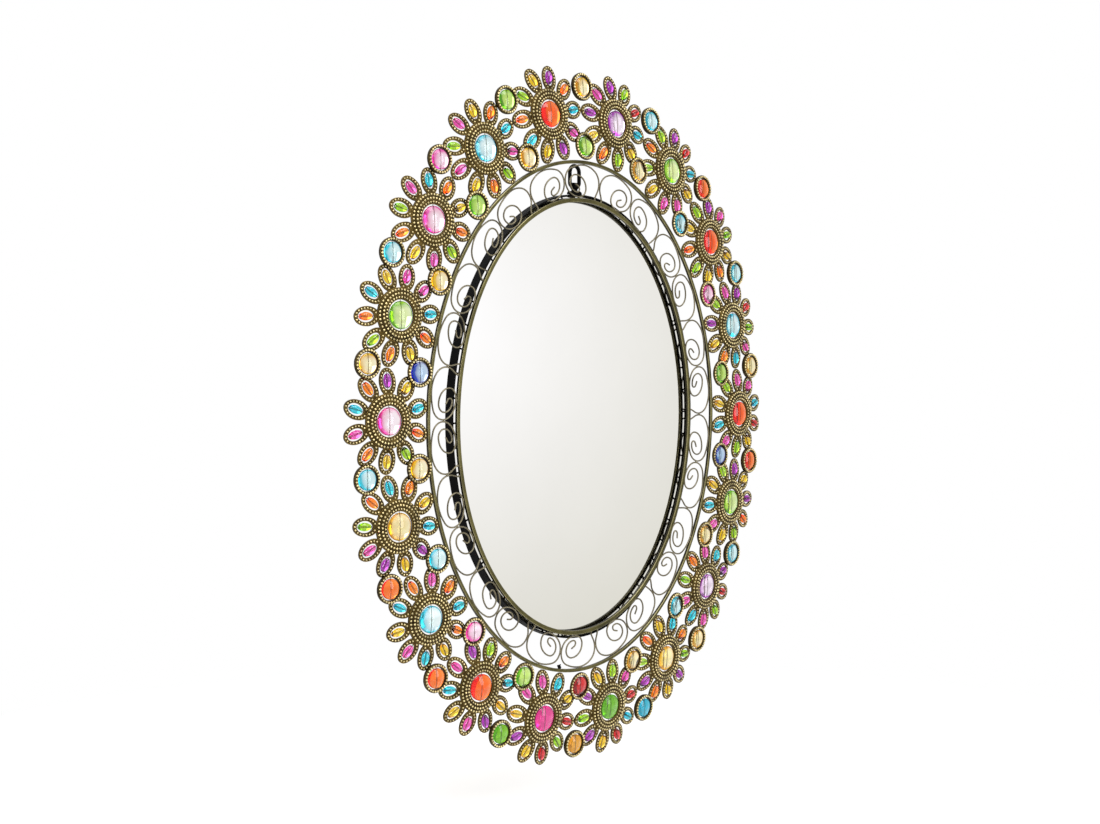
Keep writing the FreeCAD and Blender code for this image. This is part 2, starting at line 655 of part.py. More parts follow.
def link_frame(belt, share, outward_shift, collar, neighbours):
    """Placement of a bezel between two flowers, its collar seated on the petals that it overlaps."""
    frame = belt_frame(belt, share)
    centre = frame.multVec(V(outward_shift, 0, 0))
    slope = math.tan(math.radians(size("petal_fall")))
    heights = []
    for flower in neighbours:
        local = flower.inverse().multVec(centre)
        local.z = 0
        reach = local.Length - collar
        top = size("plate_half") - (reach - size("hub_hole")) * slope
        seat = flower.multVec(local.normalize() * reach + V(0, 0, top))
        heights.append(frame.inverse().multVec(seat).z)
    lift = max(heights) + size("link_seat_gap")
    return frame.multiply(FreeCAD.Placement(V(outward_shift, 0, lift), FreeCAD.Rotation()))


def by_colour(label, master, letters, placements):
    """One group for each colour of stone or bead."""
    for letter, colour in COLOURS.items():
        chosen = [spot for sign, spot in zip(letters, placements) if sign == letter]
        if chosen:
            group("%s_%s" % (label, colour), master, chosen)


def flower_belt():
    """Flowers, links, and their beads, stones and wires."""
    belt = Oval("outer", size("belt_reach"), size("tip_side"))
    count = int(size("flower_count"))
    petals = int(size("petal_count"))
    start = size("belt_turn_share")
    flowers = [belt_frame(belt, (i - 0.5 + start) / count) for i in range(count)]
    flower = flower_master()
    half_pitch = FreeCAD.Placement(V(0, 0, 0), FreeCAD.Rotation(V(0, 0, 1), 180 / petals))
    for index, spot in enumerate(flowers):
        group("flower_%02d" % (index + 1), flower, [spot.multiply(half_pitch)])
    slots = [spot.multiply(along_petal(i)) for spot in flowers for i in range(petals)]
    lengthwise = FreeCAD.Placement(V(0, 0, 0), FreeCAD.Rotation(V(0, 1, 0), 90))
    letters = [row[i % len(row)] for row in PETAL_COLOURS for i in range(petals)]
    by_colour("petal_beads", bead_master(), letters, [spot.multiply(lengthwise) for spot in slots])
    wire = wire_master("petal_wire", "petal_wire_long")
    group("petal_wires", wire, [spot.multiply(across("petal_wire_long")) for spot in slots])
    hubs = [hung(spot) for spot in flowers]
    by_colour("hub_stones", stone_master("gem"), HUB_COLOURS, hubs)
    wire = wire_master("hub_wire", "hub_wire_long")
    group("hub_wires", wire, [spot.multiply(across("hub_wire_long")) for spot in hubs])
    out_shift = size("link_out_share") * size("tip_radius")
    in_shift = size("link_radius") - size("tip_reach")
    stones = []
    for side, shift in (("outer", out_shift), ("inner", in_shift)):
        collar = size(side + "_collar")
        links = []
        for index in range(count):
            neighbours = (flowers[index], flowers[(index + 1) % count])
            links.append(link_frame(belt, (index + start) / count, shift, collar, neighbours))
        group(side + "_link_bezels", bezel_master(side), links)
        lift = FreeCAD.Placement(V(0, 0, size("link_gem_lift")), FreeCAD.Rotation())
        stones.extend(hung(spot.multiply(lift)) for spot in links)
    by_colour("link_stones", stone_master("link_gem"), OUTER_LINK_COLOURS + INNER_LINK_COLOURS, stones)
    wire = wire_master("link_wire", "link_wire_long")
    group("link_wires", wire, [spot.multiply(across("link_wire_long")) for spot in stones])


def hanger_strap():
    """Strap on top of the tray: a foot with rounded lobes, a tongue and a rolled barrel."""
    body = new_body("strap")
    plate = new_sketch(body, "strap_plate", "XZ_Plane")
    outline(plate, (("-tongue_half", "0"), ("-tongue_half", "-foot_top"), ("-foot_inner", "-foot_top"),
                    ("-foot_half", "-foot_shoulder"), ("-foot_half", "-foot_base"),
                    ("foot_half", "-foot_base"), ("foot_half", "-foot_shoulder"),
                    ("foot_inner", "-foot_top"), ("tongue_half", "-foot_top"), ("tongue_half", "0")),
            {2: ("foot_round", "left"), 6: ("foot_round", "left")})
    pad(body, plate, "strap_thick", symmetric=True)
    barrel = new_sketch(body, "barrel_end", "YZ_Plane")
    circle(barrel, "barrel_radius")
    pad(body, barrel, "barrel_long", symmetric=True)
    bore = new_sketch(body, "barrel_hole", "YZ_Plane")
    circle(bore, "barrel_bore")
    cut_through(body, bore)
    body.setExpression("Placement.Base.y", "-" + bound("hanger_depth"))
    body.setExpression("Placement.Base.z", bound("pivot_height"))
    keep(body, "hanger_strap")


def hanging_ring():
    """Ring of round rod whose straight lower bar lies in the barrel."""
    body = new_body("eye")
    path = new_sketch(body, "eye_path", "XZ_Plane")
    outline(path, (("-bar_half", "0"), ("bar_half", "0"), ("eye_half", "corner_bend"),
                   ("eye_half", "eye_shoulder"), ("0", "eye_top"), ("-eye_half", "eye_shoulder"),
                   ("-eye_half", "corner_bend")),
            {1: ("corner_bend", "left"), 3: ("eye_half", "left"), 4: ("eye_half", "left"),
             6: ("corner_bend", "left")})
    rod = new_sketch(body, "rod_section", "YZ_Plane")
    circle(rod, "rod_radius")
    pipe = body.newObject("PartDesign::AdditivePipe", "eye_rod")
    pipe.Profile = rod
    pipe.Spine = path
    body.setExpression("Placement.Base.y", "-" + bound("hanger_depth"))
    body.setExpression("Placement.Base.z", bound("pivot_height"))
    keep(body, "hanging_ring")


mirror_glass()
rim_tray()
board_and_tabs()
front_ring_and_posts()
outer_ring()
scroll_wires()
flower_belt()
hanger_strap()
hanging_ring()
doc.recompute()

for item in doc.Objects:
    if "Invalid" in item.State or "Error" in item.State:
        raise RuntimeError("%s did not compute" % item.Label)
for item in outputs:
    if item.Shape.isNull() or not item.Shape.isValid() or item.Shape.Volume <= 0:
        raise RuntimeError("%s has no valid solid" % item.Label)

os.makedirs("parts", exist_ok=True)
for item in outputs:
    item.Shape.exportStep("parts/%s.step" % item.Label)
box = FreeCAD.BoundBox()
for item in outputs:
    box.add(item.Shape.BoundBox)
print("%d pieces, %.1f wide, %.1f deep, %.1f tall" % (len(outputs), box.XLength, box.YLength, box.ZLength))
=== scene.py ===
import math
import random
from bisect import bisect_right
from typing import NamedTuple

import bmesh
import bpy
from bpy.props import FloatProperty, FloatVectorProperty, IntProperty, PointerProperty
from mathutils import Matrix, Vector
from mathutils.kdtree import KDTree


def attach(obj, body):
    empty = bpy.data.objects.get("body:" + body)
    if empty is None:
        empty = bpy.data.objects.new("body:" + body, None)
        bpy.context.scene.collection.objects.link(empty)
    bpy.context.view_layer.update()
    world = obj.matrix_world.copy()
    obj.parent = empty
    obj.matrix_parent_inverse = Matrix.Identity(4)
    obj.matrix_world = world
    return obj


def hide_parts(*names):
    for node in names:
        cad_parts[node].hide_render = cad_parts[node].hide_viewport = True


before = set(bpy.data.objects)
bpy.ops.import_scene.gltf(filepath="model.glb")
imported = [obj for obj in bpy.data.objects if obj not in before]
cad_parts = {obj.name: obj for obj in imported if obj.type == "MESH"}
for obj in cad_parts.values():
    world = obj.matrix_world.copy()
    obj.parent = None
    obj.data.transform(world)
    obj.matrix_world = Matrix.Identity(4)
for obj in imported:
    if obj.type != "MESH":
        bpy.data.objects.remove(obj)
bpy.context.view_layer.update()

bl_info = {
    "name": "Bead flower mirror",
    "version": (1, 0, 0),
    "blender": (4, 5, 0),
    "location": "3D View > Sidebar > Mirror",
    "description": "Dresses an oval wall mirror with a belt of bead flowers",
    "category": "Object",
}

FLOWERS = sorted(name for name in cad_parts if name.startswith("flower_"))
STONE_COLOURS = ("yellow", "orange", "red", "pink", "purple", "green", "cyan", "blue")
UP = Vector((0, 0, 1))
FRONT = Vector((0, -1, 0))
WHITE = (1.0, 1.0, 1.0, 1.0)
BLACK = (0.0, 0.0, 0.0, 1.0)


# Sizes and colours.

def paint(red, green, blue):
    """Scene colour of a paint chip given in 0 to 255."""
    def linear(value):
        part = value / 255
        return part / 12.92 if part <= 0.04045 else ((part + 0.055) / 1.055) ** 2.4
    return linear(red), linear(green), linear(blue)


def length(name, description, default):
    return FloatProperty(name=name, description=description, default=default, unit="LENGTH", precision=5)


def angle(name, description, degrees):
    return FloatProperty(name=name, description=description, default=math.radians(degrees), subtype="ANGLE")


def share(name, description, default):
    return FloatProperty(name=name, description=description, default=default)


def number(name, description, default):
    return IntProperty(name=name, description=description, default=default)


def colour(name, description, chip):
    return FloatVectorProperty(name=name, description=description, subtype="COLOR", size=3, min=0, max=1,
                               default=paint(*chip))


def stone_colour(name, chip):
    return colour(name + " stone", name + " seen through the depth of a stone", chip)


class BeltSizes(bpy.types.PropertyGroup):
    """Where the belt of flowers runs round the outer ring."""
    ring_half_wide: length("Ring half width", "Half width of the outer ring", 0.2405)
    ring_half_tall: length("Ring half height", "Half height of the outer ring", 0.2945)
    reach: length("Reach", "From the ring's edge to the flower middles", 0.0544012)
    tip_side: length("Tip side", "Sideways place of the petal tips that meet the ring", 0.0149712)
    depth: length("Depth", "Flower middles in front of the wall", 0.0134593)
    lean: angle("Lean", "How far the outer side of a flower leans back", 5.3)
    turn_share: share("Turn", "Share of a pitch that the belt is turned by", 0.05)


class FlowerSizes(bpy.types.PropertyGroup):
    """Sizes of a flower plate and of the grains on it."""
    petal_count: number("Petals", "Petal loops of a flower", 10)
    hub_hole: length("Hub hole", "Radius of the hole for the stone", 0.0165)
    hub_radius: length("Hub radius", "Radius of the domed hub", 0.029)
    hub_bulge: length("Hub bulge", "Height of the dome over its chord", 0.0022)
    plate_half: length("Half plate", "Half the thickness of the plate", 0.0008)
    petal_fall: angle("Petal fall", "How far the petals fall away from the hub", 7.8)
    petal_mid: length("Petal middle", "Middle of a petal loop from the flower's axis", 0.0415317)
    petal_half_long: length("Petal half length", "Half length of a petal loop", 0.0150317)
    petal_half_wide: length("Petal half width", "Half width of a petal loop", 0.0105)
    slot_mid: length("Slot middle", "Middle of the bead slot from the flower's axis", 0.0427817)
    slot_half_long: length("Slot half length", "Half length of the bead slot", 0.0095817)
    slot_half_wide: length("Slot half width", "Half width of the bead slot", 0.0063)
    petal_grains: number("Petal grains", "Grains round a petal loop", 18)
    grain_radius: length("Grain radius", "Radius of a petal grain", 0.00115)
    hub_grain_radius: length("Hub grain radius", "Radius of a hub grain", 0.0013)
    rim_radius: length("Rim radius", "Radius of the fine rims of a petal", 0.00045)


class LinkSizes(bpy.types.PropertyGroup):
    """Sizes of the round links between the flowers."""
    radius: length("Radius", "Outer radius of a link", 0.0162)
    hole: length("Hole", "Radius of the hole for the stone", 0.0122)
    edge: length("Edge", "Height of the flange's rim over the link's foot", 0.0033)
    bulge: length("Bulge", "Height of the flange's crown over its rim", 0.0014)
    outer_collar: length("Outer collar", "Foot radius of the outer links", 0.0157)
    inner_collar: length("Inner collar", "Foot radius of the inner links", 0.0132)
    outer_shift: length("Outer shift", "Outer links beyond the belt line", 0.030822)
    inner_shift: length("Inner shift", "Inner links within the belt line", -0.037464)
    seat_gap: length("Seat gap", "Gap under a link's foot", 0.0002)
    grains: number("Link grains", "Grains round a link", 26)
    grain_radius: length("Grain radius", "Radius of a link grain", 0.0014)


class StoneSizes(bpy.types.PropertyGroup):
    """Sizes of the cast beads and stones."""
    bead_half_long: length("Bead half length", "Half length of a petal bead", 0.0074817)
    bead_radius: length("Bead radius", "Radius of a petal bead at its middle", 0.0045)
    bead_end: length("Bead end", "Radius of a petal bead at its ends", 0.002)
    hub_radius: length("Hub stone radius", "Radius of a hub stone", 0.01475)
    hub_front: length("Hub stone front", "Height of a hub stone over its wire", 0.0055)
    hub_back: length("Hub stone back", "Depth of a hub stone under its wire", 0.003)
    hub_edge: length("Hub stone edge", "Half the straight edge of a hub stone", 0.0012)
    link_radius: length("Link stone radius", "Radius of a link stone", 0.01105)
    link_front: length("Link stone front", "Height of a link stone over its wire", 0.0042)
    link_back: length("Link stone back", "Depth of a link stone under its wire", 0.0016)
    link_edge: length("Link stone edge", "Half the straight edge of a link stone", 0.0009)
    link_lift: length("Link stone lift", "Wire of a link stone over the link's foot", 0.0027)


class ScrollSizes(bpy.types.PropertyGroup):
    """Where the scroll wires touch the rings and each other."""
    rim_half_wide: length("Rim half width", "Half width of the front ring", 0.1975)
    rim_half_tall: length("Rim half height", "Half height of the front ring", 0.2515)
    band: length("Band", "Width of the band of scrolls", 0.039)
    depth: length("Depth", "Wire middles in front of the wall", 0.013)
    wire_radius: length("Wire radius", "Radius of a scroll wire", 0.0009)
    pairs: number("Pairs", "Mirrored pairs of scrolls", 13)
    turn_share: share("Turn", "Share of a cell that the scrolls are turned by", -0.44)
    weld_radius: length("Weld radius", "Radius of a weld bead", 0.0013)
    knot_cell: number("Knot cell", "Cell of the scrolls that the knot lies at", 14)
    knot_size: length("Knot size", "A third of the reach of the wire knot", 0.0008)
    knot_wire: length("Knot wire", "Radius of the knotted wire", 0.0008)


class Finishes(bpy.types.PropertyGroup):
    """Colours of the finishes, and the depths that give the clear ones."""
    # The brass is painted lighter on faces to the front, and the dark brass is patina and painted shade on
    # the sides.
    brass: colour("Brass", "Rubbed parts of the antique brass", (74, 59, 24))
    brass_dark: colour("Dark brass", "Recesses of the antique brass", (14, 11, 6))
    grain: colour("Grain brass", "Grains that catch the light", (250, 230, 170))
    rim: colour("Rim brass", "Fine rims of the plates", (128, 105, 52))
    # The ring brass is painted lighter on faces to the front, and the dark ring is patina and painted shade
    # on the sides.
    ring: colour("Ring brass", "Rubbed front of the rings", (108, 102, 62))
    # Painted highlight on the rounded edges of the rings.
    ring_edge_highlight: colour("Ring edge", "Rounded edges of the rings, rubbed bare", (214, 204, 164))
    ring_dark: colour("Dark ring", "Sides of the rings", (16, 14, 8))
    # The scroll wire is painted lighter on faces to the front, and its dark colour is scale and painted shade
    # on the sides.
    wire: colour("Scroll wire", "Rubbed scroll wire", (132, 124, 102))
    wire_dark: colour("Dark scroll wire", "Scale on the scroll wire", (56, 52, 43))
    # The black lacquer is painted lighter on faces to the front, and darker on the sides as painted shade.
    black: colour("Black", "Black lacquer", (2, 2, 2))
    black_worn: colour("Worn black", "Lacquer that is rubbed thin", (10, 9, 8))
    bead_wire: colour("Bead wire", "Dull parts of the thin wires", (120, 112, 98))
    stone_wire: colour("Stone wire", "Bright parts of the thin wires", (186, 181, 172))
    silver: colour("Silver", "Silvered glass", (255, 254, 254))
    board: colour("Board", "Fibre of the backing board", (150, 112, 72))
    board_dark: colour("Dark board", "Dark fibre of the backing board", (104, 74, 44))
    yellow: stone_colour("Yellow", (236, 198, 38))
    orange: stone_colour("Orange", (250, 134, 24))
    red: stone_colour("Red", (214, 28, 34))
    pink: stone_colour("Pink", (234, 84, 180))
    purple: stone_colour("Purple", (176, 56, 184))
    green: stone_colour("Green", (164, 212, 30))
    cyan: stone_colour("Cyan", (44, 202, 222))
    blue: stone_colour("Blue", (16, 78, 192))
    bead_depth: length("Bead depth", "Depth of a bead that gives the full colour", 0.011)
    dense_depth: length("Dense depth", "Depth of a dense stone that gives the full colour", 0.0105)
    medium_depth: length("Medium depth", "Depth of a middling stone that gives the full colour", 0.06)
    pale_depth: length("Pale depth", "Depth of a pale stone that gives the full colour", 0.22)
    foot: length("Foot", "Height below which the stones are dyed through", -0.319)


class StageLook(bpy.types.PropertyGroup):
    """Camera, floor and light."""
    azimuth: angle("Azimuth", "Camera's side, from the front", -47.29)
    elevation: angle("Elevation", "Camera's height over the level", 2.69)
    distance: length("Distance", "From the camera to the middle of the rings", 2.255)
    lens: FloatProperty(name="Lens", description="Focal length for a 36 mm wide sensor", default=64.05,
                        subtype="DISTANCE_CAMERA")
    pan: angle("Pan", "Camera turned to the left of the middle", 0.8841)
    tilt: angle("Tilt", "Camera turned up from the middle", 0.1493)
    floor_drop: length("Floor", "Floor under the middle of the mirror", 0.46)
    floor: colour("Floor colour", "Pale floor", (247, 247, 246))
    glow: FloatVectorProperty(name="Glow", description="Towards the brightest place of the room", size=3,
                              subtype="DIRECTION", default=(0.677, -0.736, 0.003))
    wall: colour("Wall", "Room around its brightest place", (221, 220, 210))


GROUPS = {
    "mirror_belt": BeltSizes,
    "mirror_flower": FlowerSizes,
    "mirror_link": LinkSizes,
    "mirror_stone": StoneSizes,
    "mirror_scroll": ScrollSizes,
    "mirror_finish": Finishes,
    "mirror_stage": StageLook,
}


# Places on the belt and in the scroll band.

def running(spots):
    """Length of the way from the first spot to each spot."""
    run = [0.0]
    for here, there in zip(spots, spots[1:]):
        run.append(run[-1] + (there - here).length)
    return run


def step_at(run, part):
    """The step that a part of the whole way falls on, and how far along that step."""
    goal = part % 1 * run[-1]
    low = min(bisect_right(run, goal), len(run) - 1) - 1
    return low, (goal - run[low]) / (run[low + 1] - run[low])


class Oval:
    """An oval round the mirror, measured clockwise from its top in shares of its girth."""

    STEPS = 3600

    def __init__(self, half_wide, half_tall, reach=0.0, tip_side=0.0):
        self.half_wide, self.half_tall = half_wide, half_tall
        self.reach, self.tip_side = reach, tip_side
        self.turns = [math.tau * step / self.STEPS for step in range(self.STEPS + 1)]
        self.run = running([self.path(turn) for turn in self.turns])

    def point(self, turn, grow=0.0):
        return Vector(((self.half_wide + grow) * math.sin(turn), 0, (self.half_tall + grow) * math.cos(turn)))

    def outward(self, turn):
        return Vector((math.sin(turn) / self.half_wide, 0, math.cos(turn) / self.half_tall)).normalized()

    def path(self, turn):
        """The line that keeps the petal tips at one distance from the oval."""
        speed = math.hypot(self.half_wide * math.cos(turn), self.half_tall * math.sin(turn))
        bend = speed ** 3 / (self.half_wide * self.half_tall)
        return self.point(turn) + self.outward(turn) * (self.reach - self.tip_side ** 2 / (2 * bend))

    def turn(self, part):
        low, along = step_at(self.run, part)
        return self.turns[low] + along * (self.turns[low + 1] - self.turns[low])


def upright(place, outward, depth):
    """Frame at a place in the plane of the mirror: X outward, Z to the viewer."""
    turn = Matrix((outward, FRONT.cross(outward), FRONT)).transposed().to_4x4()
    return Matrix.Translation(place + FRONT * depth) @ turn


def belt_frames(scene, start):
    """Frames at equal steps along the belt, one for each flower, from a share of a step on."""
    sizes = scene.mirror_belt
    belt = Oval(sizes.ring_half_wide, sizes.ring_half_tall, sizes.reach, sizes.tip_side)
    lean = Matrix.Rotation(sizes.lean, 4, "Y")
    frames = []
    for index in range(len(FLOWERS)):
        turn = belt.turn((index + start + sizes.turn_share) / len(FLOWERS))
        frames.append(upright(belt.path(turn), belt.outward(turn), sizes.depth) @ lean)
    return frames


def flower_frames(scene):
    return belt_frames(scene, -0.5)


def petal_frames(scene):
    """Frames in the middle of each petal plate: X along the petal, Z to the viewer."""
    flower = scene.mirror_flower
    lift = Matrix.Translation((0, 0, flower.hub_hole * math.tan(flower.petal_fall)))
    fall = lift @ Matrix.Rotation(flower.petal_fall, 4, "Y")
    pitch = math.tau / flower.petal_count
    petals = [Matrix.Rotation(-pitch * (petal + 0.5), 4, "Z") @ fall for petal in range(flower.petal_count)]
    return [place @ petal for place in flower_frames(scene) for petal in petals]


def link_frames(scene):
    """Frames at the feet of the outer and then the inner links, seated on the petals of both neighbours."""
    flower, link = scene.mirror_flower, scene.mirror_link
    flowers = flower_frames(scene)
    neighbours = list(zip(flowers, flowers[1:] + flowers[:1]))
    places = []
    for shift, collar in ((link.outer_shift, link.outer_collar), (link.inner_shift, link.inner_collar)):
        for middle, pair in zip(belt_frames(scene, 0.0), neighbours):
            place = middle @ Matrix.Translation((shift, 0, 0))
            heights = []
            for neighbour in pair:
                towards = neighbour.inverted() @ place.translation
                towards.z = 0
                reach = towards.length - collar
                top = flower.plate_half - (reach - flower.hub_hole) * math.tan(flower.petal_fall)
                seat = neighbour @ (towards.normalized() * reach + Vector((0, 0, top)))
                heights.append((place.inverted() @ seat).z)
            places.append(place @ Matrix.Translation((0, 0, max(heights) + link.seat_gap)))
    return places


class ScrollBand:
    """The band of scrolls from the front ring out to the outer ring."""

    def __init__(self, sizes):
        half = sizes.band / 2
        self.sizes = sizes
        self.rim = Oval(sizes.rim_half_wide, sizes.rim_half_tall)
        self.middle = Oval(sizes.rim_half_wide + half, sizes.rim_half_tall + half)

    def place(self, cell, grow):
        """Frame at a count of cells round the band and a distance out from the front ring."""
        turn = self.middle.turn((cell + self.sizes.turn_share) / (2 * self.sizes.pairs))
        return upright(self.rim.point(turn, grow), self.rim.outward(turn), self.sizes.depth)


# Mesh work.

OVAL_STEPS = 720


def grain_shape(radius, height=0.8, around=8, rings=5):
    """A small round grain, a little flattened."""
    grain = bmesh.new()
    bmesh.ops.create_uvsphere(grain, u_segments=around, v_segments=rings, radius=radius)
    bmesh.ops.scale(grain, vec=(1, 1, height), verts=grain.verts)
    grain.verts.index_update()
    points = [vert.co.copy() for vert in grain.verts]
    faces = [[vert.index for vert in face.verts] for face in grain.faces]
    grain.free()
    return points, faces


def spins(count, shift=0.0):
    """Equal turns about Z, the first of them by a share of a step."""
    return [Matrix.Rotation(math.tau * (step + shift) / count, 4, "Z") for step in range(count)]


def strip(low, high, around):
    """Faces between two rings of points, by the numbers of their first points."""
    corners = [(step, (step + 1) % around) for step in range(around)]
    return [[low + here, low + there, high + there, high + here] for here, there in corners]


def loop_tube(points, radius, sides=6):
    """A round bar along a closed loop."""
    count = len(points)
    verts, faces = [], []
    for index, here in enumerate(points):
        along = (points[(index + 1) % count] - points[index - 1]).normalized()
        side = along.cross(UP).normalized()
        over = side.cross(along)
        for corner in range(sides):
            turn = math.tau * corner / sides
            verts.append(here + (side * math.cos(turn) + over * math.sin(turn)) * radius)
        faces.extend(strip(index * sides, (index + 1) % count * sides, sides))
    return verts, faces


def round_rims(spots, steps, radius):
    """Fine rims that run round Z through the spots."""
    return joined(loop_tube([spin @ spot for spin in spins(steps)], radius) for spot in spots)


def turned(outline, around):
    """A closed shape turned about Z from radii and heights, both ends of which lie on the axis."""
    verts = [Vector((0, 0, outline[0][1]))]
    for radius, height in outline[1:-1]:
        verts.extend(spin @ Vector((radius, 0, height)) for spin in spins(around))
    top = len(verts)
    verts.append(Vector((0, 0, outline[-1][1])))
    last = top - around
    faces = []
    for step in range(around):
        following = (step + 1) % around
        faces.append([0, 1 + following, 1 + step])
        faces.append([last + step, last + following, top])
    for low in range(1, last, around):
        faces.extend(strip(low, low + around, around))
    return verts, faces


def arc(half, rise):
    """Radius and half angle of an arc that rises over a chord of some half length."""
    curve = (half ** 2 + rise ** 2) / (2 * rise)
    return curve, math.asin(half / curve)


def stone_shape(radius, front, back, edge, around=48, steps=9):
    """A round stone with a high front and a low back."""
    def cap(rise, way):
        curve, spread = arc(radius, rise - edge)
        turns = [spread * step / steps for step in range(steps + 1)]
        return [(curve * math.sin(turn), way * (rise - curve + curve * math.cos(turn))) for turn in turns]
    return turned(cap(back, -1) + cap(front, 1)[::-1], around)


def bead_shape(half_long, radius, end, around=24, steps=12):
    """A long bead that swells from its flat ends, lying along X."""
    curve, spread = arc(half_long, radius - end)
    side = []
    for step in range(steps + 1):
        turn = spread * (2 * step / steps - 1)
        side.append((radius - curve + curve * math.cos(turn), curve * math.sin(turn)))
    bead = turned([(0, -half_long), *side, (0, half_long)], around)
    return moved(bead, Matrix.Rotation(math.pi / 2, 4, "Y"))


def moved(shape, place):
    return [place @ point for point in shape[0]], shape[1]


def joined(shapes):
    """One shape from several."""
    verts, faces = [], []
    for points, sides in shapes:
        start = len(verts)
        verts.extend(points)
        faces.extend([start + corner for corner in side] for side in sides)
    return verts, faces


def copies(shape, places):
    """One shape from copies of a shape at several places."""
    return joined(moved(shape, place) for place in places)


def oval_loop(half_long, half_wide, middle, height, count):
    """Points at equal steps round an oval in the plane of a petal."""
    turns = [math.tau * step / OVAL_STEPS for step in range(OVAL_STEPS + 1)]
    spots = [Vector((middle + half_long * math.cos(turn), half_wide * math.sin(turn), height))
             for turn in turns]
    run = running(spots)
    points = []
    for index in range(count):
        low, along = step_at(run, index / count)
        points.append(spots[low].lerp(spots[low + 1], along))
    return points


def piece(name, shape, material):
    """A smooth closed mesh that rides on the frame."""
    mesh = bpy.data.meshes.new(name)
    mesh.from_pydata([tuple(point) for point in shape[0]], [], shape[1])
    mesh.polygons.foreach_set("use_smooth", [True] * len(mesh.polygons))
    mesh.materials.append(material)
    mesh.update()
    made = bpy.data.objects.new(name, mesh)
    bpy.context.scene.collection.objects.link(made)
    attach(made, "frame")
    return made


def dress(material, *names):
    """Gives CAD nodes a finish."""
    for name in names:
        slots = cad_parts[name].data.materials
        slots.clear()
        slots.append(material)


# Finishes. How far a face looks to the front is read along Y, and -1 is straight to the viewer.

# Faces that look to the front are painted lighter and the sides darker: painted light and painted shade.
SHADE_FACING = (-0.2, -0.95)
# Facings of the rounded edges that get a painted highlight.
HIGHLIGHT_STARTS, HIGHLIGHT_ENDS = (-0.35, -0.6), (-0.97, -0.85)
# Spans of the noise, and what they come to, for patches and speckles on metal and for swirls in resin.
PATCH_SPAN = (0.3, 0.62, 0.35, 1.0)
SPECKLE_SPAN = (0.3, 0.6, 0.72, 1.0)
SWIRL_SPAN = (0.3, 0.7, -1.0, 1.0)
HAZE_SPAN = (0.35, 0.7, 0.0, 0.04)
PATCH_HEIGHT = 0.6
METAL_BUMP = 0.0004
SWIRL_SCALE, HAZE_SCALE, RIPPLE_SCALE = 70.0, 420.0, 160.0
RIPPLE_STRENGTH, RIPPLE_DEPTH = 0.02, 0.0006
RESIN_IOR = 1.49
FOOT_CROWN = 0.05
SMEAR = 0.98
BELOW_ALL = -1.0


class WearAndShade(NamedTuple):
    """How a metal is worn and shaded: its finishes by name, the sizes of its wear and of its painted side
    shade, and the sockets of its shader.
    """
    bright: str
    dark: str
    patch: float
    grain: float
    rub: float
    shine: float
    dull: float = 0.3
    # Strength of the painted highlight on rounded edges.
    edge: float = 0.0
    bump: float = 0.2
    metallic: float = 0.9
    specular: float = 0.5


# Each metal's bright colour is painted on faces to the front and its dark one on the sides, as painted light
# and painted shade.
METALS = {
    "plate_brass": WearAndShade("brass", "brass_dark", patch=70.0, grain=1100.0, rub=0.55, shine=0.32),
    "grain_brass": WearAndShade("grain", "brass_dark", patch=90.0, grain=1500.0, rub=0.45, shine=0.24),
    "rim_brass": WearAndShade("rim", "brass_dark", patch=80.0, grain=1300.0, rub=0.5, shine=0.28),
    "oval_brass": WearAndShade("ring", "ring_dark", patch=45.0, grain=700.0, rub=0.85, shine=0.2, dull=0.15,
                       edge=0.22),
    "scroll_steel": WearAndShade("wire", "wire_dark", patch=55.0, grain=800.0, rub=0.5, shine=0.34),
    "bead_thread": WearAndShade("stone_wire", "bead_wire", patch=200.0, grain=2400.0, rub=0.2, shine=0.3),
    "tinned_thread": WearAndShade("stone_wire", "bead_wire", patch=200.0, grain=2400.0, rub=0.1, shine=0.2, dull=0.7,
                          metallic=0.2),
    "black_lacquer": WearAndShade("black_worn", "black", patch=120.0, grain=1400.0, rub=0.7, shine=0.3, bump=0.12,
                          metallic=0.0, specular=0.04),
}


class DyeAndPaintedTint(NamedTuple):
    """How dye lies in a casting, and its painted tint: the depth of its full colour, the power of the painted
    deep tint at the rim and the share of the painted pale tint at the crown, the facing of both, the haze,
    and the height below which it is dyed through."""
    depth: float
    rim: float
    crown: float
    facing: tuple = (0.85, 0.97)
    haze: float = 0.01
    foot: float = BELOW_ALL


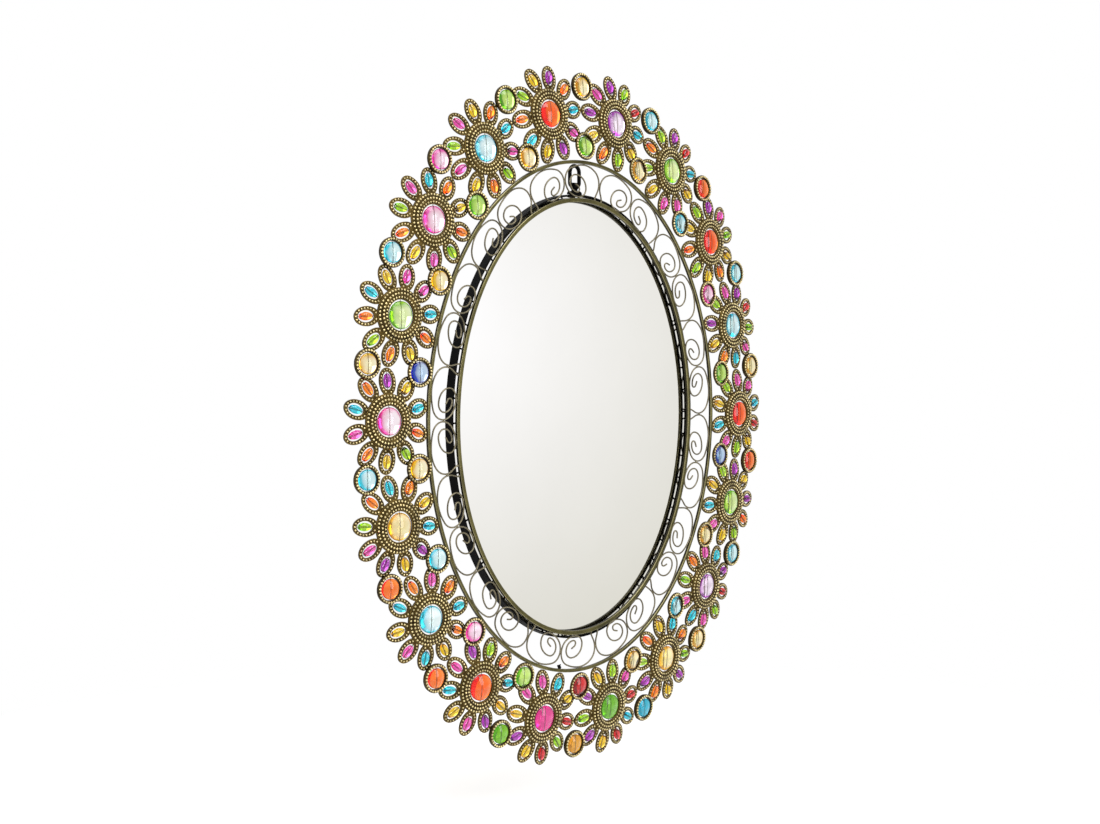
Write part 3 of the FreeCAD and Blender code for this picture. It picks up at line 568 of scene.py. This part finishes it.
class Nodes:
    """Places and links the nodes of one node tree."""

    def __init__(self, tree):
        self.tree = tree

    def fill(self, node, values):
        """Feeds sockets with plain values or with what other nodes put out."""
        for socket, value in values.items():
            if isinstance(value, bpy.types.NodeSocket):
                self.tree.links.new(value, node.inputs[socket])
            else:
                node.inputs[socket].default_value = value
        return node

    def add(self, kind, values=None, **settings):
        node = self.tree.nodes.new("ShaderNode" + kind)
        for key, value in settings.items():
            setattr(node, key, value)
        return self.fill(node, values or {})

    def mix(self, part, low, high):
        """Colour between two colours."""
        return self.add("Mix", {0: part, 6: low, 7: high}, data_type="RGBA").outputs[2]

    def math(self, operation, first, second=0.5, clamp=False):
        return self.add("Math", {0: first, 1: second}, operation=operation, use_clamp=clamp).outputs[0]

    def spread(self, value, low, high, to_low=0.0, to_high=1.0):
        return self.add("MapRange", {"Value": value, "From Min": low, "From Max": high,
                                     "To Min": to_low, "To Max": to_high}).outputs[0]

    def noise(self, where, scale, detail=3.0, roughness=0.55):
        return self.add("TexNoise", {"Vector": where, "Scale": scale, "Detail": detail,
                                     "Roughness": roughness}).outputs[0]

    def rays(self):
        """Light Path, and the mask of the rays that show the background."""
        path = self.add("LightPath").outputs
        direct = self.math("MAXIMUM", path["Is Camera Ray"], path["Is Glossy Ray"])
        return path, self.math("MAXIMUM", direct, path["Is Transmission Ray"])

    def surface(self, bsdf, tint, rough, height, strength, distance):
        """Feeds colour, roughness and bump to the shader."""
        bump = self.add("Bump", {"Strength": strength, "Distance": distance, "Height": height})
        self.fill(bsdf, {"Base Color": tint, "Roughness": rough, "Normal": bump.outputs[0]})


def effect(name, inputs):
    """A shader node group for a finish: its node helper, what it is given and its end."""
    tree = bpy.data.node_groups.new(name, "ShaderNodeTree")
    for label, default in inputs.items():
        kind = "NodeSocketColor" if isinstance(default, tuple) else "NodeSocketFloat"
        tree.interface.new_socket(label, in_out="INPUT", socket_type=kind).default_value = default
    tree.interface.new_socket("Color", in_out="OUTPUT", socket_type="NodeSocketColor")
    for label in ("Roughness", "Height"):
        tree.interface.new_socket(label, in_out="OUTPUT", socket_type="NodeSocketFloat")
    return Nodes(tree), tree.nodes.new("NodeGroupInput").outputs, tree.nodes.new("NodeGroupOutput")


def patina_and_shading_effect():
    """Metal with dark patina in patches and speckles, painted shade on its sides, painted light on faces that
    look to the front, and a painted highlight on its rounded edges.
    """
    if "patina" in bpy.data.node_groups:
        return bpy.data.node_groups["patina"]
    nodes, given, end = effect("patina", {
        "Bright": WHITE, "Dark": BLACK, "Rubbed": WHITE, "Patch Scale": 60.0, "Grain Scale": 900.0,
        "Rub": 0.6, "Shine": 0.3, "Dullness": 0.3, "Edge": 0.0})
    where = nodes.add("TexCoord").outputs
    patch = nodes.noise(where["Object"], given["Patch Scale"], detail=4.0)
    grain = nodes.noise(where["Object"], given["Grain Scale"], detail=2.0)
    facing = nodes.add("SeparateXYZ", {0: where["Normal"]}).outputs[1]
    # Painted light on faces to the front and painted shade on the sides.
    rubbed = nodes.math("MULTIPLY", nodes.spread(facing, *SHADE_FACING), given["Rub"])
    lit_share = nodes.math("ADD", rubbed, nodes.math("SUBTRACT", 1.0, given["Rub"]))
    worn = nodes.math("MULTIPLY", lit_share, nodes.spread(patch, *PATCH_SPAN))
    speckled = nodes.math("MULTIPLY", worn, nodes.spread(grain, *SPECKLE_SPAN), clamp=True)
    # Painted highlight on rounded edges, in the rubbed colour.
    edge_highlight_mask = nodes.math("MULTIPLY", nodes.spread(facing, *HIGHLIGHT_STARTS), nodes.spread(facing, *HIGHLIGHT_ENDS))
    edge = nodes.math("MULTIPLY", edge_highlight_mask, given["Edge"])
    rough = nodes.spread(speckled, 0.0, 1.0, to_low=given["Dullness"], to_high=0.0)
    nodes.fill(end, {
        "Color": nodes.mix(edge, nodes.mix(speckled, given["Dark"], given["Bright"]), given["Rubbed"]),
        "Roughness": nodes.math("ADD", rough, given["Shine"]),
        "Height": nodes.math("ADD", grain, nodes.math("MULTIPLY", patch, PATCH_HEIGHT))})
    return nodes.tree


def cast_effect():
    """Cast clear resin: its tint is painted deep towards the rim and pale at the crown, as painted light for
    the colour that light bent through the stone gathers at its rim, in faint swirls; and slow ripples on the
    surface.
    """
    if "clear_cast" in bpy.data.node_groups:
        return bpy.data.node_groups["clear_cast"]
    nodes, given, end = effect("clear_cast", {
        "Rim": WHITE, "Crown": WHITE, "Rim Facing": 0.84, "Crown Facing": 0.96, "Swirl": 0.35, "Haze": 0.02,
        "Foot": BELOW_ALL})
    where = nodes.add("TexCoord").outputs
    swirl = nodes.noise(where["Object"], SWIRL_SCALE, detail=2.0)
    haze = nodes.noise(where["Object"], HAZE_SCALE)
    # The tint deepens where the surface turns away from the front: painted light for the colour bent to the
    # rim.
    facing = nodes.math("ABSOLUTE", nodes.add("SeparateXYZ", {0: where["Normal"]}).outputs[1])
    crown = nodes.spread(facing, given["Rim Facing"], given["Crown Facing"])
    stirred = nodes.math("MULTIPLY", nodes.spread(swirl, *SWIRL_SPAN), given["Swirl"])
    height = nodes.add("SeparateXYZ", {0: where["Object"]}).outputs[2]
    above = nodes.spread(nodes.math("GREATER_THAN", height, given["Foot"]), 0.0, 1.0, to_low=FOOT_CROWN)
    clear = nodes.math("MULTIPLY", nodes.math("ADD", crown, stirred, clamp=True), above)
    nodes.fill(end, {
        "Color": nodes.mix(clear, given["Rim"], given["Crown"]),
        "Roughness": nodes.math("ADD", nodes.spread(haze, *HAZE_SPAN), given["Haze"]),
        "Height": nodes.noise(where["Object"], RIPPLE_SCALE, detail=1.0)})
    return nodes.tree


def shader(name):
    """A new material: its node helper and its Principled shader."""
    material = bpy.data.materials.new(name)
    material.use_nodes = True
    return material, Nodes(material.node_tree), material.node_tree.nodes["Principled BSDF"]


def solid(tint, part=1.0):
    """A colour as sockets take it, or a part of its brightness."""
    return (*(part * value for value in tint), 1.0)


def metal(name, finish):
    """Worn metal by its name, made once."""
    if name in bpy.data.materials:
        return bpy.data.materials[name]
    wear = METALS[name]
    material, nodes, bsdf = shader(name)
    found = nodes.add("Group", {
        "Bright": solid(getattr(finish, wear.bright)), "Dark": solid(getattr(finish, wear.dark)),
        # The rubbed colour here is the painted highlight on rounded edges.
        "Rubbed": solid(finish.ring_edge_highlight), "Patch Scale": wear.patch, "Grain Scale": wear.grain,
        "Rub": wear.rub, "Shine": wear.shine, "Dullness": wear.dull, "Edge": wear.edge,
    }, node_tree=patina_and_shading_effect()).outputs
    nodes.surface(bsdf, found["Color"], found["Roughness"], found["Height"], wear.bump, METAL_BUMP)
    nodes.fill(bsdf, {"Metallic": wear.metallic, "Specular IOR Level": wear.specular})
    return material


def clear_stone(name, tint, dye):
    """Clear cast stone: dye takes light away over the way through it; its tint is painted deeper at the rim
    as painted light, and below the foot height the stone takes the deep tint all through."""
    material, nodes, bsdf = shader(name)
    found = nodes.add("Group", {
        # Painted deep tint at the rim and pale tint at the crown, for light bent through the stone.
        "Rim": solid(part ** dye.rim for part in tint),
        "Crown": solid(1 - dye.crown * (1 - part) for part in tint),
        "Rim Facing": dye.facing[0], "Crown Facing": dye.facing[1], "Haze": dye.haze, "Foot": dye.foot,
    }, node_tree=cast_effect()).outputs
    nodes.surface(bsdf, found["Color"], found["Roughness"], found["Height"], RIPPLE_STRENGTH, RIPPLE_DEPTH)
    nodes.fill(bsdf, {"Transmission Weight": 1.0, "IOR": RESIN_IOR})
    taken = [-math.log(part) / dye.depth for part in tint]
    density = max(taken)
    volume = nodes.add("VolumeAbsorption", {"Color": solid(1 - part / density for part in taken),
                                            "Density": density})
    nodes.fill(nodes.tree.nodes["Material Output"], {"Volume": volume.outputs[0]})
    return material


def silvered_glass(finish):
    material, nodes, bsdf = shader("silvered_glass")
    where = nodes.add("TexCoord").outputs["Object"]
    wipe = nodes.noise(where, 9.0, detail=4.0)
    tint = nodes.mix(nodes.spread(wipe, 0.35, 0.7), solid(finish.silver), solid(finish.silver, SMEAR))
    rough = nodes.spread(wipe, 0.4, 0.75, to_low=0.008, to_high=0.03)
    wave = nodes.noise(where, 3.0, detail=1.0)
    nodes.surface(bsdf, tint, rough, wave, strength=0.004, distance=0.001)
    nodes.fill(bsdf, {"Metallic": 1.0})
    return material


def fibre_board(finish):
    material, nodes, bsdf = shader("fibre_board")
    where = nodes.add("TexCoord").outputs["Object"]
    stretched = nodes.add("Mapping", {"Vector": where, "Scale": (1.0, 1.0, 4.0)}).outputs[0]
    fibre = nodes.noise(stretched, 420.0, detail=5.0, roughness=0.7)
    blotch = nodes.spread(nodes.noise(where, 14.0), 0.3, 0.7, to_low=0.55)
    pale = nodes.math("MULTIPLY", nodes.spread(fibre, 0.3, 0.65), blotch)
    tint = nodes.mix(pale, solid(finish.board_dark), solid(finish.board))
    rough = nodes.spread(fibre, 0.3, 0.7, to_low=0.9, to_high=0.65)
    nodes.surface(bsdf, tint, rough, fibre, strength=0.35, distance=0.0004)
    return material


# Pieces.

class MIRROR_OT_glass(bpy.types.Operator):
    """Silver the glass and give the backing board its fibre"""
    bl_idname = "mirror.glass"
    bl_label = "Glass and board"

    def execute(self, context):
        finish = context.scene.mirror_finish
        dress(silvered_glass(finish), "mirror_glass")
        dress(fibre_board(finish), "backing_board")
        return {"FINISHED"}


class MIRROR_OT_tray(bpy.types.Operator):
    """Lacquer the rim tray, its posts and its tabs"""
    bl_idname = "mirror.tray"
    bl_label = "Rim tray"

    def execute(self, context):
        lacquer = metal("black_lacquer", context.scene.mirror_finish)
        dress(lacquer, "rim_tray", "rim_posts", "backing_tabs")
        return {"FINISHED"}


class MIRROR_OT_rings(bpy.types.Operator):
    """Give the two oval rings their worn brass"""
    bl_idname = "mirror.rings"
    bl_label = "Rings"

    def execute(self, context):
        dress(metal("oval_brass", context.scene.mirror_finish), "front_ring", "outer_ring")
        return {"FINISHED"}


class MIRROR_OT_scrolls(bpy.types.Operator):
    """Finish the scroll wires and set the weld beads where they touch"""
    bl_idname = "mirror.scrolls"
    bl_label = "Scroll wires"

    # Welds of a scroll: share along its cell, further share to its own side, share across the band.
    WELDS = ((0.0, 0.0, 0.47), (0.5, -0.4, 0.0), (0.5, 0.1, 0.0), (0.5, -0.04, 1.0))
    # How far the welds lie within the band, in wire radii, and how far they are stretched each way.
    INSET = 0.6
    STRETCH = ((0.75, 1.0), (0.85, 1.35), (0.8, 1.0))
    SEED = 7

    def execute(self, context):
        sizes = context.scene.mirror_scroll
        steel = metal("scroll_steel", context.scene.mirror_finish)
        dress(steel, "scroll_wires_left", "scroll_wires_right")
        band = ScrollBand(sizes)
        inset = self.INSET * sizes.wire_radius
        dice = random.Random(self.SEED)
        places = []
        for cell in range(2 * sizes.pairs):
            way = 1 if cell % 2 else -1
            for along, aside, across in self.WELDS:
                place = band.place(cell + along + way * aside, inset + across * (sizes.band - 2 * inset))
                stretch = [dice.uniform(*span) for span in self.STRETCH]
                places.append(place @ Matrix.Diagonal((*stretch, 1)))
        bead = grain_shape(sizes.weld_radius, around=10, rings=6)
        piece("scroll_welds", copies(bead, places), steel)
        return {"FINISHED"}


class MIRROR_OT_knot(bpy.types.Operator):
    """Set the knot of black wire on the inner edge of the outer ring"""
    bl_idname = "mirror.knot"
    bl_label = "Wire knot"

    STEPS = 96

    def execute(self, context):
        sizes = context.scene.mirror_scroll
        # A trefoil.
        loop = []
        for step in range(self.STEPS):
            turn = math.tau * step / self.STEPS
            spot = Vector((math.sin(turn) + 2 * math.sin(2 * turn), math.cos(turn) - 2 * math.cos(2 * turn),
                           -math.sin(3 * turn)))
            loop.append(spot * sizes.knot_size)
        reach = 3 * sizes.knot_size
        seat = ScrollBand(sizes).place(sizes.knot_cell, sizes.band) @ Matrix.Translation((-reach, 0, 0))
        piece("wire_knot", moved(loop_tube(loop, sizes.knot_wire, sides=8), seat),
              metal("black_lacquer", context.scene.mirror_finish))
        return {"FINISHED"}


class MIRROR_OT_flowers(bpy.types.Operator):
    """Finish the flower plates and lay their grains and fine rims"""
    bl_idname = "mirror.flowers"
    bl_label = "Flowers"

    # Rows of hub grains: share of the way from the hole to the foot, size, and shift in steps of the row.
    HUB_ROWS = ((0.2, 0.9, 0.0), (0.5, 1.0, 0.5), (0.81, 1.0, 0.0))
    HUB_GRAIN_STEP = 3.1
    # Rims of a hub: share of the way from the hole to the foot, and their size against a petal's rims.
    HUB_RIMS = (0.035, 0.965)
    HUB_RIM_SIZE = 1.15
    HUB_RIM_STEPS = 72
    PETAL_RIM_INSET = 0.9
    PETAL_RIM_STEPS = 40

    def execute(self, context):
        scene = context.scene
        finish, flower = scene.mirror_finish, scene.mirror_flower
        dress(metal("plate_brass", finish), *FLOWERS)
        petals, hubs = petal_frames(scene), flower_frames(scene)
        for name, places, shape, brass in (
                ("petal_grains", petals, self.petal_grains(flower), "grain_brass"),
                ("petal_rims", petals, self.petal_rims(flower), "rim_brass"),
                ("hub_grains", hubs, self.hub_grains(flower), "grain_brass"),
                ("hub_rims", hubs, self.hub_rims(flower), "rim_brass")):
            piece(name, copies(shape, places), metal(brass, finish))
        return {"FINISHED"}

    def petal_grains(self, flower):
        """Grains in the channel of one petal loop, as far as the hub leaves it free."""
        half_long = (flower.petal_half_long + flower.slot_half_long) / 2
        half_wide = (flower.petal_half_wide + flower.slot_half_wide) / 2
        middle = (flower.petal_mid + flower.slot_mid) / 2
        free = flower.hub_radius + flower.grain_radius
        loop = oval_loop(half_long, half_wide, middle, flower.plate_half, flower.petal_grains)
        spots = [spot for spot in loop if math.hypot(spot.x * math.cos(flower.petal_fall), spot.y) > free]
        return copies(grain_shape(flower.grain_radius), [Matrix.Translation(spot) for spot in spots])

    def petal_rims(self, flower):
        """The fine rims on both sides of a petal's channel."""
        inset = flower.rim_radius * self.PETAL_RIM_INSET
        rims = []
        for half_long, half_wide, middle in (
                (flower.petal_half_long - inset, flower.petal_half_wide - inset, flower.petal_mid),
                (flower.slot_half_long + inset, flower.slot_half_wide + inset, flower.slot_mid)):
            loop = oval_loop(half_long, half_wide, middle, flower.plate_half, self.PETAL_RIM_STEPS)
            rims.append(loop_tube(loop, flower.rim_radius))
        return joined(rims)

    @staticmethod
    def hub_dome(flower):
        """Gives the point of the hub's top at a share of the way from its hole to its foot."""
        top = Vector((flower.hub_hole, 0, flower.plate_half))
        drop = (flower.hub_radius - flower.hub_hole) * math.tan(flower.petal_fall)
        foot = Vector((flower.hub_radius, 0, flower.plate_half - drop))
        chord = foot - top
        rise = Vector((-chord.z, 0, chord.x)).normalized()
        curve, spread = arc(chord.length / 2, flower.hub_bulge)
        middle = (top + foot) / 2 + rise * (flower.hub_bulge - curve)
        across = chord.normalized()

        def dome(part):
            turn = (2 * part - 1) * spread
            return middle + (across * math.sin(turn) + rise * math.cos(turn)) * curve
        return dome

    def hub_grains(self, flower):
        """Rows of grains on the dome of a hub."""
        dome = self.hub_dome(flower)
        places = []
        for part, size, shift in self.HUB_ROWS:
            spot = dome(part)
            count = round(math.tau * spot.x / (flower.hub_grain_radius * size * self.HUB_GRAIN_STEP))
            seat = Matrix.Translation(spot) @ Matrix.Scale(size, 4)
            places.extend(spin @ seat for spin in spins(count, shift))
        return copies(grain_shape(flower.hub_grain_radius), places)

    def hub_rims(self, flower):
        """A rim round the hub's hole and one round its foot."""
        spots = map(self.hub_dome(flower), self.HUB_RIMS)
        return round_rims(spots, self.HUB_RIM_STEPS, flower.rim_radius * self.HUB_RIM_SIZE)


class MIRROR_OT_links(bpy.types.Operator):
    """Finish the round links and lay their grains and rims"""
    bl_idname = "mirror.links"
    bl_label = "Links"

    # Height of a grain against its width, how deep it sits in its radii, and the rims against a petal's rims.
    GRAIN_HEIGHT = 0.85
    GRAIN_SINK = 0.2
    RIM_SIZE = 1.2
    RIM_STEPS = 64

    def execute(self, context):
        scene = context.scene
        finish, link = scene.mirror_finish, scene.mirror_link
        dress(metal("plate_brass", finish), "outer_link_bezels", "inner_link_bezels")
        places = link_frames(scene)
        rims = self.rims(link, scene.mirror_flower.rim_radius * self.RIM_SIZE)
        piece("link_grains", copies(self.grains(link), places), metal("grain_brass", finish))
        piece("link_rims", copies(rims, places), metal("rim_brass", finish))
        return {"FINISHED"}

    def grains(self, link):
        """Grains on the crown of a link."""
        height = link.edge + link.bulge - link.grain_radius * self.GRAIN_SINK
        crown = Matrix.Translation(((link.radius + link.hole) / 2, 0, height))
        grain = grain_shape(link.grain_radius, self.GRAIN_HEIGHT)
        return copies(grain, [spin @ crown for spin in spins(link.grains)])

    def rims(self, link, rim_radius):
        """A rim at both edges of a link's flange."""
        radii = (link.radius - rim_radius, link.hole + rim_radius)
        return round_rims([Vector((radius, 0, link.edge)) for radius in radii], self.RIM_STEPS, rim_radius)


class MIRROR_OT_stones(bpy.types.Operator):
    """Cast the beads and stones in clear colours, and finish the wires that hold them"""
    bl_idname = "mirror.stones"
    bl_label = "Beads and stones"

    DENSE = ("orange", "red")
    MEDIUM = ("yellow", "green", "blue")
    # Depth of the full colour in a small stone, against that in a hub stone.
    SMALL = 0.4

    def execute(self, context):
        scene = context.scene
        finish, sizes = scene.mirror_finish, scene.mirror_stone
        along = Matrix.Translation((scene.mirror_flower.slot_mid, 0, 0))
        lift = Matrix.Translation((0, 0, sizes.link_lift))
        bead = bead_shape(sizes.bead_half_long, sizes.bead_radius, sizes.bead_end)
        hub = stone_shape(sizes.hub_radius, sizes.hub_front, sizes.hub_back, sizes.hub_edge)
        small = stone_shape(sizes.link_radius, sizes.link_front, sizes.link_back, sizes.link_edge)
        for stem, shape, places in (
                ("petal_beads", bead, [place @ along for place in petal_frames(scene)]),
                ("hub_stones", hub, flower_frames(scene)),
                ("link_stones", small, [place @ lift for place in link_frames(scene)])):
            for tint, chosen in self.by_colour(stem, places).items():
                cast = clear_stone(stem + "_" + tint, getattr(finish, tint), self.dye(finish, stem, tint))
                made = piece(tint + "_" + stem, copies(shape, chosen), cast)
                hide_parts(stem + "_" + tint)
        dress(metal("bead_thread", finish), "petal_wires")
        dress(metal("tinned_thread", finish), "hub_wires", "link_wires")
        return {"FINISHED"}

    @staticmethod
    def by_colour(stem, places):
        """The places of each colour, read from the CAD stones that lie there."""
        nodes = {tint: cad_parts.get(stem + "_" + tint) for tint in STONE_COLOURS}
        points = [(vert.co, tint) for tint, node in nodes.items() if node for vert in node.data.vertices]
        tree = KDTree(len(points))
        for index, (spot, tint) in enumerate(points):
            tree.insert(spot, index)
        tree.balance()
        found = {}
        for place in places:
            nearest = tree.find(place.translation)[1]
            found.setdefault(points[nearest][1], []).append(place)
        return found

    def dye(self, finish, stem, tint):
        """How the dye lies in one kind of bead or stone, and how its tint is painted deep at the rim and pale
        at the crown.
        """
        small, foot = stem == "link_stones", finish.foot
        if stem == "petal_beads":
            return DyeAndPaintedTint(finish.bead_depth, rim=0.5, crown=0.25, facing=(0.2, 0.9), haze=0.03)
        if tint in self.DENSE:
            return DyeAndPaintedTint(finish.dense_depth, rim=1.0, crown=0.75, facing=(0.8, 0.97), foot=foot)
        if small and tint == "green":
            return DyeAndPaintedTint(finish.medium_depth * self.SMALL, rim=1.6, crown=0.5, foot=foot)
        if tint in self.MEDIUM:
            return DyeAndPaintedTint(finish.medium_depth, rim=2.0, crown=0.17, foot=foot)
        if small:
            return DyeAndPaintedTint(finish.pale_depth * self.SMALL, rim=1.6, crown=0.08, foot=foot)
        return DyeAndPaintedTint(finish.pale_depth, rim=1.8, crown=0.06, foot=foot)


class MIRROR_OT_hanger(bpy.types.Operator):
    """Lacquer the hanging ring and its strap"""
    bl_idname = "mirror.hanger"
    bl_label = "Hanger"

    def execute(self, context):
        dress(metal("black_lacquer", context.scene.mirror_finish), "hanger_strap", "hanging_ring")
        return {"FINISHED"}


class Softbox(NamedTuple):
    """A lamp that looks at the middle of the mirror: its place round it, its size and its power."""
    azimuth: float
    height: float
    distance: float
    wide: float
    tall: float
    watts: float


class MIRROR_OT_stage(bpy.types.Operator):
    """Set the camera, the pale floor and the soft light"""
    bl_idname = "mirror.stage"
    bl_label = "Stage"

    SOFTBOXES = {
        "right_softbox": Softbox(azimuth=22, height=0.3, distance=2.1, wide=0.8, tall=1.6, watts=15),
        "top_softbox": Softbox(azimuth=-10, height=1.9, distance=0.9, wide=1.6, tall=1.2, watts=30),
        "left_softbox": Softbox(azimuth=-88, height=0.6, distance=2.2, wide=1.0, tall=1.6, watts=42),
        "back_softbox": Softbox(azimuth=170, height=0.9, distance=2.2, wide=1.4, tall=1.4, watts=16),
    }
    SENSOR_WIDE = 36
    CLIP = (0.05, 60)
    FLOOR_RADIUS = 1.1
    FLOOR_ROUGHNESS = 0.9
    FLOOR_FADE = (0.35, 1.0)
    # How far from the bright place of the room its wall begins, and how it fades again beyond.
    WALL_NEAR = (0.03, 0.18)
    WALL_FAR = (0.3, 0.9, 1.0, 0.2)
    ROOM_LIGHT = 0.72

    def execute(self, context):
        scene = context.scene
        look = scene.mirror_stage
        self.camera(scene, look)
        self.floor(scene, look)
        self.world(scene, look)
        for name, lamp in self.SOFTBOXES.items():
            self.softbox(scene, name, lamp)
        scene.view_settings.view_transform = "Standard"
        return {"FINISHED"}

    def camera(self, scene, look):
        data = bpy.data.cameras.new("photo_camera")
        data.sensor_fit = "HORIZONTAL"
        data.sensor_width = self.SENSOR_WIDE
        data.lens = look.lens
        data.clip_start, data.clip_end = self.CLIP
        back = Vector((math.sin(look.azimuth) * math.cos(look.elevation),
                       -math.cos(look.azimuth) * math.cos(look.elevation), math.sin(look.elevation)))
        right = (-back).cross(UP).normalized()
        turn = Matrix((right, right.cross(-back), back)).transposed().to_4x4()
        made = bpy.data.objects.new("photo_camera", data)
        middle = FRONT * scene.mirror_scroll.depth
        made.matrix_world = (Matrix.Translation(middle + back * look.distance) @ turn
                             @ Matrix.Rotation(look.pan, 4, "Y") @ Matrix.Rotation(look.tilt, 4, "X"))
        scene.collection.objects.link(made)
        scene.camera = made

    def floor(self, scene, look):
        """A pale floor that goes over into the white round it."""
        material, nodes, bsdf = shader("pale_floor")
        where = nodes.add("TexCoord").outputs["Object"]
        mottle = nodes.spread(nodes.noise(where, 3.0), 0.3, 0.7)
        nodes.fill(bsdf, {"Base Color": nodes.mix(mottle, solid(look.floor), solid(look.floor, SMEAR)),
                          "Roughness": self.FLOOR_ROUGHNESS})
        far = nodes.add("VectorMath", {0: where}, operation="LENGTH").outputs["Value"]
        seen = nodes.rays()[1]
        faded = nodes.math("MULTIPLY", seen, nodes.spread(far, *self.FLOOR_FADE))
        white = nodes.add("Emission", {"Strength": 1.0})
        blend = nodes.add("MixShader", {0: faded, 1: bsdf.outputs[0], 2: white.outputs[0]})
        nodes.fill(nodes.tree.nodes["Material Output"], {0: blend.outputs[0]})
        disc = bmesh.new()
        bmesh.ops.create_circle(disc, cap_ends=True, radius=self.FLOOR_RADIUS, segments=96)
        mesh = bpy.data.meshes.new("floor")
        disc.to_mesh(mesh)
        disc.free()
        mesh.materials.append(material)
        made = bpy.data.objects.new("floor", mesh)
        made.location.z = -look.floor_drop
        scene.collection.objects.link(made)

    def world(self, scene, look):
        """A white room: plain white to the eye, softer as light, and with one bright place on a greyer wall
        in the glass."""
        world = bpy.data.worlds.new("white_room")
        world.use_nodes = True
        world.node_tree.nodes.clear()
        scene.world = world
        nodes = Nodes(world.node_tree)
        path, seen = nodes.rays()
        away = nodes.add("VectorMath", {0: nodes.add("TexCoord").outputs["Generated"], 1: look.glow},
                         operation="DISTANCE").outputs["Value"]
        near, far = nodes.spread(away, *self.WALL_NEAR), nodes.spread(away, *self.WALL_FAR)
        walls = nodes.mix(nodes.math("MULTIPLY", near, far), WHITE, solid(look.wall))
        shown = nodes.add("Background", {"Color": nodes.mix(path["Is Glossy Ray"], WHITE, walls),
                                         "Strength": 1.0})
        light = nodes.add("Background", {"Color": WHITE, "Strength": self.ROOM_LIGHT})
        blend = nodes.add("MixShader", {0: seen, 1: light.outputs[0], 2: shown.outputs[0]})
        nodes.add("OutputWorld", {0: blend.outputs[0]})

    @staticmethod
    def softbox(scene, name, lamp):
        data = bpy.data.lights.new(name, "AREA")
        data.shape = "RECTANGLE"
        data.size, data.size_y = lamp.wide, lamp.tall
        data.energy = lamp.watts
        made = bpy.data.objects.new(name, data)
        azimuth = math.radians(lamp.azimuth)
        made.location = (math.sin(azimuth) * lamp.distance, -math.cos(azimuth) * lamp.distance, lamp.height)
        made.rotation_euler = Vector(made.location).to_track_quat("Z", "Y").to_euler()
        scene.collection.objects.link(made)


STEPS = (MIRROR_OT_stage, MIRROR_OT_glass, MIRROR_OT_tray, MIRROR_OT_rings, MIRROR_OT_scrolls, MIRROR_OT_knot,
         MIRROR_OT_flowers, MIRROR_OT_links, MIRROR_OT_stones, MIRROR_OT_hanger)


class MIRROR_PT_pieces(bpy.types.Panel):
    """The pieces of the mirror and their sizes and colours"""
    bl_idname = "MIRROR_PT_pieces"
    bl_label = "Bead flower mirror"
    bl_space_type = "VIEW_3D"
    bl_region_type = "UI"
    bl_category = "Mirror"

    def draw(self, context):
        for step in STEPS:
            self.layout.operator(step.bl_idname)
        for name, kind in GROUPS.items():
            box = self.layout.box()
            box.label(text=kind.__doc__)
            for key in kind.__annotations__:
                box.prop(getattr(context.scene, name), key)


CLASSES = (*GROUPS.values(), *STEPS, MIRROR_PT_pieces)


def register():
    for kind in CLASSES:
        bpy.utils.register_class(kind)
    for name, kind in GROUPS.items():
        setattr(bpy.types.Scene, name, PointerProperty(type=kind))


def unregister():
    for name in GROUPS:
        delattr(bpy.types.Scene, name)
    for kind in reversed(CLASSES):
        bpy.utils.unregister_class(kind)


def main():
    register()
    for step in STEPS:
        group, name = step.bl_idname.split(".")
        getattr(getattr(bpy.ops, group), name)()


if __name__ == "__main__":
    main()
